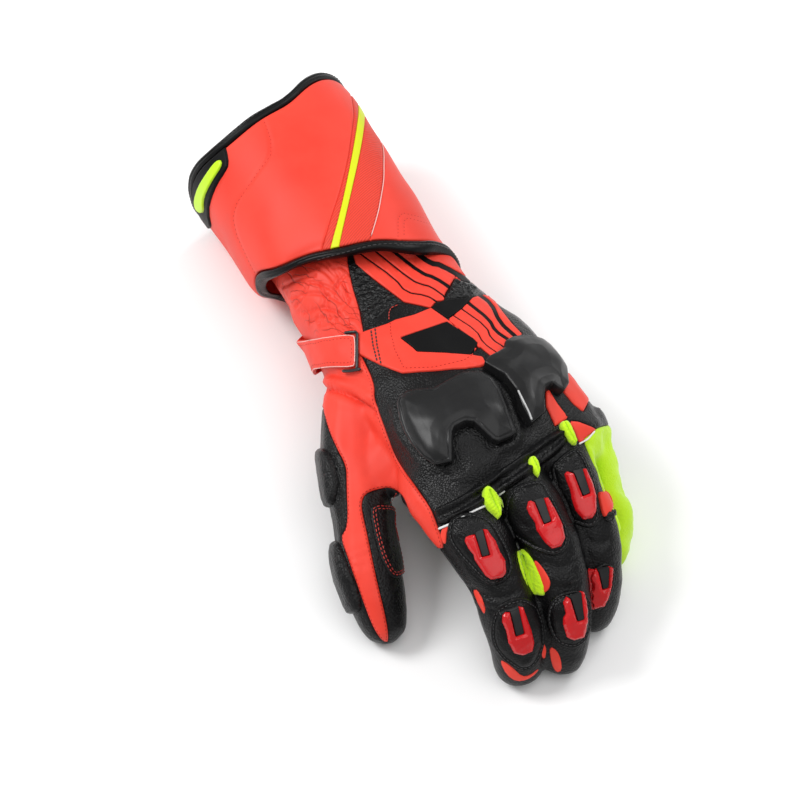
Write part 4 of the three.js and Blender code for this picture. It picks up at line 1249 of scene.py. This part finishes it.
# Two padded ribs before the knuckles.
RIBS = [
    (432, 508), (452, 500), (478, 484), (504, 466), (528, 450), (548, 434), (563, 427), (571, 435), (566, 445),
    (552, 460), (530, 475), (506, 491), (488, 504), (464, 514), (440, 527), (435, 519),
]
RIB_LINES = [
    ([(434, 512), (458, 502), (482, 486), (508, 468), (530, 452), (550, 437), (562, 431)], 2.6, 1.9),
    ([(440, 522), (464, 512), (488, 497), (510, 483), (532, 467), (552, 452), (564, 441)], 2.2, 1.7),
    ([(470, 490), (478, 494)], -0.6, 1.6),
    ([(500, 470), (506, 478)], -0.6, 1.6),
    ([(545, 440), (551, 447)], -0.5, 1.4),
]
ribs = overlay("knuckle_ribs", RIBS, [(0, 0.3), (0.5, 0.8), (1.4, 0.9)], "black_grain", "black_leather", 1.6,
               extra=lambda skin, d: ridges(skin, RIB_LINES, 1.6) * np.clip(d / 1.5, 0, 1),
               nodes=["knuckle_flex_panel"], padded=0.6)

# Pads, sliders and inserts on the finger joints.
PADS = {
    "index_near": [
        (447, 523), (453, 515), (464, 511), (478, 512), (488, 516), (497, 524), (505, 538), (512, 553), (515, 568),
        (510, 579), (500, 585), (491, 587), (481, 581), (470, 569), (457, 556), (446, 540)],
    "middle_near": [
        (504, 510), (506, 496), (512, 488), (522, 482), (536, 478), (545, 481), (552, 493), (561, 510), (569, 526),
        (571, 540), (566, 551), (558, 556), (548, 556), (533, 550), (518, 541), (508, 528)],
    "ring_near": [
        (550, 467), (560, 456), (574, 446), (582, 450), (588, 461), (594, 476), (599, 496), (602, 516), (597, 526),
        (589, 529), (578, 526), (567, 515), (558, 500), (553, 482)],
    "index_far": [
        (489, 632), (491, 616), (497, 605), (508, 598), (522, 596), (534, 601), (541, 613), (545, 636), (543, 655),
        (535, 667), (524, 672), (512, 668), (500, 658), (492, 645)],
    "middle_far": [
        (546, 622), (546, 606), (554, 596), (568, 590), (582, 590), (590, 598), (592, 613), (591, 630), (585, 643),
        (574, 650), (562, 648), (552, 640)],
    "ring_far": [
        (587, 592), (586, 576), (594, 567), (606, 562), (614, 566), (616, 578), (613, 594), (606, 607), (596, 613),
        (588, 606)],
}
# Each slider is its left arm and body, then the notch, from its left top round to its right top.
SLIDERS = {
    "index_near": (
        [(483, 528), (488, 529), (492, 535), (496, 540), (501, 552), (506, 560), (507, 573), (503, 578), (491, 580),
         (485, 576), (474, 560), (473, 555), (468, 549), (464, 541), (465, 537), (469, 535)],
        [(475, 534), (482, 557), (490, 555)]),
    "middle_near": (
        [(544, 497), (549, 497), (557, 511), (563, 524), (566, 538), (562, 546), (552, 549), (545, 543), (536, 530),
         (535, 523), (529, 515), (526, 508), (528, 501), (531, 500)],
        [(535, 502), (544, 524), (552, 521)]),
    "ring_near": (
        [(583, 468), (587, 468), (593, 481), (597, 495), (597, 511), (593, 518), (583, 520), (575, 511), (571, 499),
         (570, 491), (566, 481), (564, 474), (567, 471)],
        [(574, 473), (583, 496), (591, 493)]),
    "index_far": (
        [(519, 607), (524, 607), (528, 619), (532, 630), (535, 643), (533, 652), (523, 656), (514, 654), (508, 643),
         (506, 632), (502, 623), (502, 616), (505, 612)],
        [(510, 612), (516, 637), (525, 634)]),
    "middle_far": (
        [(582, 592), (585, 592), (588, 603), (589, 619), (587, 631), (585, 638), (574, 641), (567, 638), (563, 626),
         (563, 619), (566, 614), (563, 603), (567, 597)],
        [(571, 599), (578, 622), (585, 620)]),
    "ring_far": (
        [(610, 567), (614, 568), (614, 576), (612, 589), (609, 600), (605, 607), (593, 610), (590, 603), (591, 592),
         (593, 587), (590, 578), (592, 572), (596, 569)],
        [(599, 573), (603, 590), (609, 588)]),
}
PAD_ROWS = [(0, 0.2), (0.4, 1.4), (1.0, 1.9), (1.6, 1.6), (2.1, 1.3), (2.6, 1.7), (3.5, 2.2), (5.0, 2.5)]
SLIDER_ROWS = [(0, 3.3), (0.25, 4.3), (1.1, 5.1), (1.3, 5.15)]
reach = {"index": to_index, "middle": to_middle, "ring": to_ring, "little": to_little}
pad_lines = []
for joint, points in PADS.items():
    finger, place = joint.split("_")
    others = [name for name in reach if name != finger]
    own = np.min([reach[name] for name in others], axis=0) - reach[finger] + 3.0
    wrap = 0.15 if place == "near" else 0.25
    pad = overlay(f"finger_pad_{joint}", points, PAD_ROWS, "black_pad", "black_leather", 1.4, wrap=wrap, field=own,
                  nodes=[f"pad_{joint}"], padded=0.7,
                  extra=lambda skin, d: 0.12 * ripple(skin["V"], 5.0, 12) * np.clip(d / 1.5, 0, 1))
    pad_lines += top_lines(pad, 1.8)
    body, notch = SLIDERS[joint]
    overlay(f"finger_slider_{joint}", body + notch, SLIDER_ROWS, "slider_gloss", "hard_red", 4.4, rounds=0, fine=2,
            field=own, nodes=[f"slider_{joint}"], under=1.0, wrap=0.3, sharp=20)
    overlay(f"finger_insert_{joint}", notch + body[:1] + body[-1:], [(0, 3.0), (0.3, 3.7)], "insert_dark", "hard_black",
            3.6, rounds=0, fine=1, field=own, nodes=[f"insert_{joint}"], under=1.0, wrap=0.3, sharp=30)
stitched("stitches_finger_pads", pad_lines, "thread_black", "black_leather", pitch=1.9, length=1.4, width=0.5, lift=0.1)

# Gussets at the finger roots and the fourchette between index and middle finger.
GUSSETS = {
    "gusset_index_middle": (
        [(484, 489), (487, 485), (492, 486), (499, 494), (503, 506), (503, 518), (497, 513), (488, 506),
         (484, 498)],
        [(490, 490), (495, 502), (502, 516)]),
    "gusset_middle_ring": (
        [(530, 459), (532, 455), (536, 455), (541, 463), (542, 476), (537, 472), (531, 465)],
        [(534, 458), (538, 466), (541, 474)]),
    "gusset_ring_little": (
        [(562, 422), (565, 419), (570, 420), (575, 430), (580, 444), (573, 443), (567, 434), (563, 428)],
        [(566, 423), (571, 433), (577, 442)]),
}
# They span the clefts between the fingers, so they lie on a skin that is drawn level there.
cleft_V = relaxed(even_skin["V"], even_skin["F"], 14)
cleft_skin = {**even_skin, "V": cleft_V, "N": normals_of(cleft_V, even_skin["F"])}
for name, (points, slit) in GUSSETS.items():
    overlay(f"{name}_suede", points, [(0, 1.8), (0.5, 3.7), (1.5, 4.3)], "neon_suede", "neon_leather", 3.9, rounds=1,
            fine=2, nodes=[name], wrap=0.2, skin=cleft_skin,
            extra=lambda skin, d, slit=slit: ridges(skin, [(slit, -1.2, 0.35)], 3.9) + 0.1 * ripple(skin["V"], 2.0, 6))
FOURCHETTE = [
    (518, 548), (526, 553), (533, 561), (540, 574), (545, 590), (543, 597), (536, 595), (529, 586),
    (522, 573), (518, 558),
]
overlay("fourchette_red", [(532, 558), (540, 564), (548, 576), (551, 584), (548, 591), (542, 594), (538, 580)],
        [(0, 0.3), (0.4, 0.8)], "red_smooth", "red_leather", 0.8, near=False, wrap=0.3)
overlay("fourchette_neon", FOURCHETTE, [(0, 0.4), (0.5, 1.4), (1.2, 1.8)], "neon_suede", "neon_leather", 1.6, rounds=1,
        rough=0.15, wrap=0.4, skin=cleft_skin, fine=2,
        extra=lambda skin, d: ridges(skin, [([(522, 556), (525, 568), (529, 581), (534, 592)], -1.8, 0.6)], 1.6)
        + 0.15 * ripple(skin["V"], 2.2, 7))

# Small red patches on the fingers.
PATCHES = {
    "index_side": [(472, 590), (477, 590), (483, 600), (485, 610), (484, 615), (480, 608), (477, 602)],
    "index_tip": [(499, 660), (506, 663), (514, 669), (522, 677), (530, 676), (540, 668),
                  (537, 673), (528, 680), (516, 682), (506, 675)],
    "middle_tip": [(549, 646), (557, 651), (561, 660), (562, 671), (556, 673), (551, 664)],
    "index_inner": [(544, 642), (547, 650), (545, 660), (542, 656)],
    "index_root": [(438, 531), (452, 523), (466, 516), (486, 508), (487, 511), (470, 515),
                   (455, 519), (447, 528), (445, 549)],
}
for name, points in PATCHES.items():
    overlay(f"red_patch_{name}", points, [(0, 0.4), (0.3, 0.75)], "red_smooth", "red_leather", 0.7, rounds=1, wrap=0.3)

# White piping before the finger roots.
WHITE_PIPING = [  # name, line, step in pixels, radius
    ("piping_index", [(438, 529), (450, 524), (464, 516), (478, 509), (487, 505)], 1.5, 0.55),
    ("piping_middle", [(498, 496), (502, 493), (505, 491)], 1.0, 0.45),
    ("piping_little", [(579, 444), (588, 439), (595, 431)], 1.0, 0.45),
]
for name, line, step, radius in WHITE_PIPING:
    points, normals = seen_on(hand_skin, line, 1.0, step=step)
    swept(name, points, normals, radius, "piping_white", "red_leather", flat=0.8)

# The thumb: two pads outside it, a sewn patch inside it.
thumb_pads = {
    "thumb_pad_upper": [(310, 450), (320, 447), (328, 451), (335, 466), (338, 488), (332, 506),
                        (320, 512), (305, 490), (303, 465)],
    "thumb_pad_lower": [(318, 546), (334, 539), (340, 546), (346, 562), (353, 580), (360, 600),
                        (360, 614), (338, 616), (318, 575)],
}
for name, points in thumb_pads.items():
    overlay(f"{name}_leather", points, [(0, 0.3), (0.6, 1.8), (1.8, 2.9), (5, 3.5)], "black_grain", "black_leather", 1.5,
            wrap=0.85, nodes=[name], padded=0.7)
THUMB_PATCH = [(369, 509), (373, 505), (379, 503), (394, 504), (396, 512), (395, 524), (400, 545),
               (407, 571), (401, 578), (391, 577), (382, 562), (375, 540)]
patch = overlay("thumb_patch_leather", THUMB_PATCH, [(0, 0.4), (0.4, 1.2), (1.2, 1.5)], "black_grain", "black_leather", 1.3,
                wrap=0.25, nodes=["thumb_patch"])
stitched("stitches_thumb_patch", top_lines(patch, 1.3) + top_lines(patch, 2.5), "thread_red", "red_leather", pitch=2.2,
         length=1.5, width=0.45, lift=0.1)
stitched("stitches_web", [seen_on(hand_skin, [(390, 503), (394, 497), (397, 492)], 0.5),
                          seen_on(hand_skin, [(395, 505), (398, 499), (400, 494)], 0.5)],
         "thread_red", "red_leather", pitch=1.8, length=1.3, width=0.45, lift=0.2)

# The bridge between ring and little finger.
BRIDGE = [(599, 492), (606, 490), (612, 494), (615, 506), (611, 516), (605, 517), (602, 508)]
overlay("finger_bridge_strap", BRIDGE, [(0, 0.6), (0.4, 1.8), (1.0, 2.1)], "red_smooth", "red_leather", 2.0, rounds=1,
        wrap=0.3, near=False, nodes=["finger_bridge"])
overlay("finger_bridge_end", [(608, 511), (613, 508), (618, 512), (616, 519), (609, 521), (606, 517)],
        [(0, 1.0), (0.5, 2.2), (1.5, 2.9)], "black_stretch", "black_leather", 2.4, rounds=1, wrap=0.3, rough=0.5, near=False,
        extra=lambda skin, d: 0.5 * ripple(skin["V"], 1.2, 14))

# Stitch rows on the arrow panel.
double = [seen_on(panel[0], line, 1.5) for line in (
    [(371, 330), (373, 345), (377, 361)], [(375, 328), (377, 345), (381, 364)])]
stitched("stitches_anchor_black", double, "ring_black", "black_leather", pitch=2.1, length=1.8, width=0.8, lift=0.1)
dotted = [seen_on(panel[0], [(390, 322), (391, 334), (395, 350), (404, 368), (433, 367), (464, 360), (476, 352)], 1.45)]
stitched("stitches_anchor_red", dotted, "thread_dark_red", "red_leather", pitch=2.0, length=1.1, width=0.5, lift=0.0)
loose = [seen_on(base, [(398, 305), (391, 308), (389, 313), (389, 320)], 0.6)]
stitched("stitches_anchor_loose", loose, "thread_red", "red_leather", pitch=1.8, length=1.5, width=0.5, lift=0.2)

# ---------------------------------------------------------------- strap and ring
SLOPE = math.radians(40)
STRAP_AT = np.array([-18.6, 18.25, 59.04])
STRAP_ACROSS = np.array([0.0, math.cos(SLOPE), math.sin(SLOPE)])
STRAP_HALF = 9.0
STRAP_FOOT = 13.4  # where the strap ends behind the wrist, in x
STRAP_BOW = 2.4  # how far it stands off at the wrist's outline
STRAP = [
    (276, 347), (298, 342), (330, 336), (354, 334), (355, 340), (355, 362), (354, 367), (330, 367), (309, 370),
    (285, 374),
]
# Seen from the camera the strap follows its outline, and behind the wrist it runs on to its foot.
V = even_skin["V"]
toward = even_skin["S"] @ BACK
bow = STRAP_BOW * np.exp(-(toward / 0.4) ** 2)
strap_skin = {**even_skin, "V": V + bow[:, None] * even_skin["N"]}
across = STRAP_HALF - np.abs((V - STRAP_AT) @ STRAP_ACROSS)
foot = STRAP_FOOT - V[:, 0]
shown = within(pixels(strap_skin["V"] + 3.2 * even_skin["N"]), rounded(STRAP, 1))
share = np.clip((toward + 0.1) / 0.25, 0, 1)
strap_patch, _ = split(strap_skin, share * shown + (1 - share) * np.minimum(across, foot))
strap = layer("wrist_strap_band", main_island(strap_patch), [(0, 2.6), (0.2, 3.1), (0.8, 3.2)], "red_smooth",
              "red_leather", under=1.2, smooth=2, nodes=["wrist_strap"])
stitched("stitches_strap", top_lines(strap, 1.9), "thread_dark_red", "red_leather",
         pitch=2.2, length=1.2, width=0.35, lift=0.0)
for k, (points, normals) in enumerate(line for line in top_lines(strap, 0.25) if len(line[0]) > 30):
    swept(f"strap_edge_{k + 1}", points, normals, 0.28, "piping_pink", "red_leather", around=6, flat=0.6)
RING_RADIUS = 0.8
RING_BARS = [  # name, line, height, sides, node
    ("strap_ring_bar", [(357, 332), (357, 340), (357, 352), (357, 362), (357, 370)], 2.6, 10, ["strap_ring"]),
    ("strap_ring_upper", [(344, 333), (351, 332), (357, 332)], 2.4, 8, []),
    ("strap_ring_lower", [(342, 371), (350, 371), (361, 369)], 2.4, 8, []),
]
for name, line, height, sides, stands_for in RING_BARS:
    points, normals = seen_on(even_skin, line, height, step=1.5)
    swept(name, points, normals, RING_RADIUS, "ring_black", "strap_hardware", around=sides, nodes=stands_for)

# ---------------------------------------------------------------- the cuff
CUFF_AXIS_X, CUFF_AXIS_Z = 28.6, 40.0


def tube_skin(name, levels, outer_only=True):
    bm = node_bmesh(name)
    if outer_only:
        def out(face):
            c = face.calc_center_median() / MM
            away = Vector((c.x - CUFF_AXIS_X, 0, c.z - CUFF_AXIS_Z)).normalized()
            return face.normal.dot(away) > 0.3
        keep_faces(bm, out)
    bmesh.ops.join_triangles(bm, faces=bm.faces, angle_face_threshold=math.pi, angle_shape_threshold=math.pi)
    return modified(bm, ("SUBSURF", {"levels": levels, "render_levels": levels}))


CUFF_SHIFTS = [
    ((343, 100), (357, 98)), ((358, 119), (369, 119)), ((375, 140), (382, 140)), ((390, 160), (393, 160)),
    ((414, 190), (413, 190)), ((432, 213), (428, 213)), ((448, 236), (443, 236)),
    ((300, 247), (300, 257)), ((325, 244), (325, 251)), ((350, 238), (350, 245)), ((371, 232), (371, 240)),
    ((390, 227), (390, 239)), ((409, 223), (409, 238)), ((428, 224), (428, 242)), ((445, 231), (447, 251)),
    ((460, 248), (461, 260)), ((250, 277), (257, 290)), ((262, 305), (268, 299)),
    ((272, 313), (282, 300)), ((286, 317), (294, 304)), ((302, 322), (310, 310)),
    ((280, 250), (280, 268)), ((230, 258), (231, 260)), ((208, 226), (208, 227)), ((190, 184), (189, 185)),
    ((230, 130), (230, 124)), ((255, 111), (257, 106)), ((277, 93), (281, 96)), ((290, 84), (291, 90)),
    ((299, 79), (299, 82)), ((314, 75), (317, 72)), ((327, 80), (334, 76)), ((280, 180), (280, 180)),
    ((330, 190), (330, 190)),
]
V, F = tube_skin("cuff_sleeve", 4)
cuff = skin_of(shifted(V, CUFF_SHIFTS), F, 10)
cuff["V"] = cuff["V"] + (0.35 + 0.3 * ripple(V, 40.0, 21))[:, None] * cuff["N"]
CUFF_SEAMS = [
    [(264, 121), (271, 140), (271, 155), (258, 172), (237, 203), (233, 218), (237, 236), (252, 268),
     (260, 281)],
    [(398, 238), (398, 218), (403, 213), (428, 219)],
    [(404, 236), (404, 221), (408, 218), (430, 224)],
]
CUFF_FOLDS = [
    ([(207, 214), (212, 232), (225, 250)], -0.6, 3.0),
    ([(292, 262), (310, 250), (330, 244)], -0.5, 2.5),
    ([(300, 268), (322, 262)], 0.3, 2.0),
    (CUFF_SEAMS[0], -0.45, 0.8),
    ([(440, 236), (448, 248), (452, 258)], -0.5, 2.0),
    (CUFF_SEAMS[1], -0.3, 0.7),
    (CUFF_SEAMS[2], -0.2, 0.6),
]
push = ridges(cuff, CUFF_FOLDS) * np.clip(cuff["V"][:, 2] / 2.0, 0, 1)
cuff["V"] = cuff["V"] + push[:, None] * cuff["N"]
cuff["V"][:, 2] = np.maximum(cuff["V"][:, 2], 0.05)
cuff["N"] = normals_of(cuff["V"], cuff["F"])


STRIPE = [
    (356, 88), (360, 107), (357, 130), (349, 172), (340, 213), (331, 245), (327, 262), (336, 262), (339, 244),
    (351, 193), (361, 149), (365, 123), (365, 111), (362, 100), (364, 88),
]
BAND = [
    (348, 80), (355, 111), (353, 126), (349, 157), (340, 192), (332, 214), (324, 241), (318, 262), (364, 262),
    (370, 239), (378, 214), (384, 180), (384, 151), (381, 140), (374, 120), (372, 80),
]
SIDE = [
    (372, 80), (374, 120), (381, 140), (384, 151), (384, 180), (378, 214), (370, 239), (364, 262), (480, 300),
    (520, 240), (420, 80),
]
rest = cuff
stripe, rest = split(rest, drawn(rest, STRIPE, 0.5, wrap=0.2))
band, rest = split(rest, drawn(rest, BAND, 0.4, wrap=0.2))
side, rest = split(rest, drawn(rest, SIDE, 0.4, wrap=0.3))
cuff_edge = [(0, -0.2), (0.3, 0.15), (0.9, 0.4)]
layer("cuff_main", rest, cuff_edge, "red_smooth", "red_leather", under=-1.2, nodes=["cuff_sleeve"])
layer("cuff_band", band, cuff_edge, "red_band", "red_leather", under=-1.2)
layer("cuff_stripe", stripe, [(0, 0.3), (0.2, 0.5)], "yellow_stripe", "neon_leather", under=-1.2)
layer("cuff_side", side, cuff_edge, "red_smooth", "red_leather", under=-1.2)
stitched("stitches_cuff", [seen_on(cuff, seam, 0.3) for seam in CUFF_SEAMS], "thread_dark_red",
         "red_leather", pitch=2.3, length=1.2, width=0.45, lift=0.02)
PIPING = [(382, 143), (384, 151), (384, 166), (384, 180), (381, 198), (378, 214), (370, 240)]
points, normals = seen_on(cuff, rounded(PIPING, 2, closed=False), 0.4, step=1.5)
swept("piping_cuff", points, normals, 0.28, "piping_pink", "red_leather", flat=0.7)

# Tab and badge on the rim.
TAB = [(222, 140), (226, 150), (228, 164), (224, 172), (216, 184), (210, 198), (207, 212),
       (211, 232), (195, 235), (180, 200), (190, 160)]
BADGE = [(218, 159), (221, 161), (220, 167), (212, 179), (205, 192), (202, 202), (203, 213),
         (199, 214), (194, 208), (193, 200), (197, 187), (205, 174), (213, 163)]


def cuff_overlay(name, points, profile, look, slot, height, **more):
    inside = drawn(cuff, points, height, 1, more.pop("wrap", 0.4))
    patch, _ = split(cuff, inside)
    return layer(name, main_island(patch), profile, look, slot, **{"fine": 1, **more})


cuff_overlay("cuff_tab_leather", TAB, [(0, 0.5), (0.4, 1.3), (1.0, 1.6)], "black_smooth", "black_leather", 1.4,
             nodes=["cuff_tab"], wrap=0.7, fine=0)
cuff_overlay("cuff_badge_strip", BADGE, [(0, 1.6), (0.4, 2.4), (0.9, 2.6)], "badge_neon", "neon_badge", 2.4,
             nodes=["cuff_badge"], sharp=40)

# Bindings.
sleeve_rim = KDTree(len(cuff["V"]))
rim_points = np.unique(rim_edges(cuff["F"]))
for k in rim_points:
    sleeve_rim.insert(cuff["V"][k], int(k))
sleeve_rim.balance()
binding_lines = []
for name in ("cuff_hem_binding", "cuff_rim_binding"):
    V, F = tube_skin(name, 3, outer_only=False)
    skin = skin_of(shifted(V, CUFF_SHIFTS), F, 4)
    field = np.array([sleeve_rim.find(v)[2] for v in skin["V"]])
    groove = -0.4 * np.exp(-((field - 3.3) / 0.4) ** 2)
    skin["V"] = skin["V"] + (0.3 + groove + 0.12 * ripple(V, 12.0, 31))[:, None] * skin["N"]
    skin["V"][:, 2] = np.maximum(skin["V"][:, 2], 0.05)
    make(f"{name}_leather", skin["V"], skin["F"], "black_binding", "black_leather", nodes=[name])
    outward = (skin["S"] * np.column_stack([
        skin["V"][:, 0] - CUFF_AXIS_X, np.zeros(len(V)), skin["V"][:, 2] - CUFF_AXIS_Z])).sum(1) > 5.0
    faces = outward[skin["F"]].all(1)
    patch = part_of({**skin, "d": field}, faces)
    d = patch.pop("d")
    binding_lines += chains(patch, d, 4.1)
stitched("stitches_bindings", binding_lines, "thread_black", "black_leather", pitch=2.6, length=1.9, width=0.5, lift=0.05)
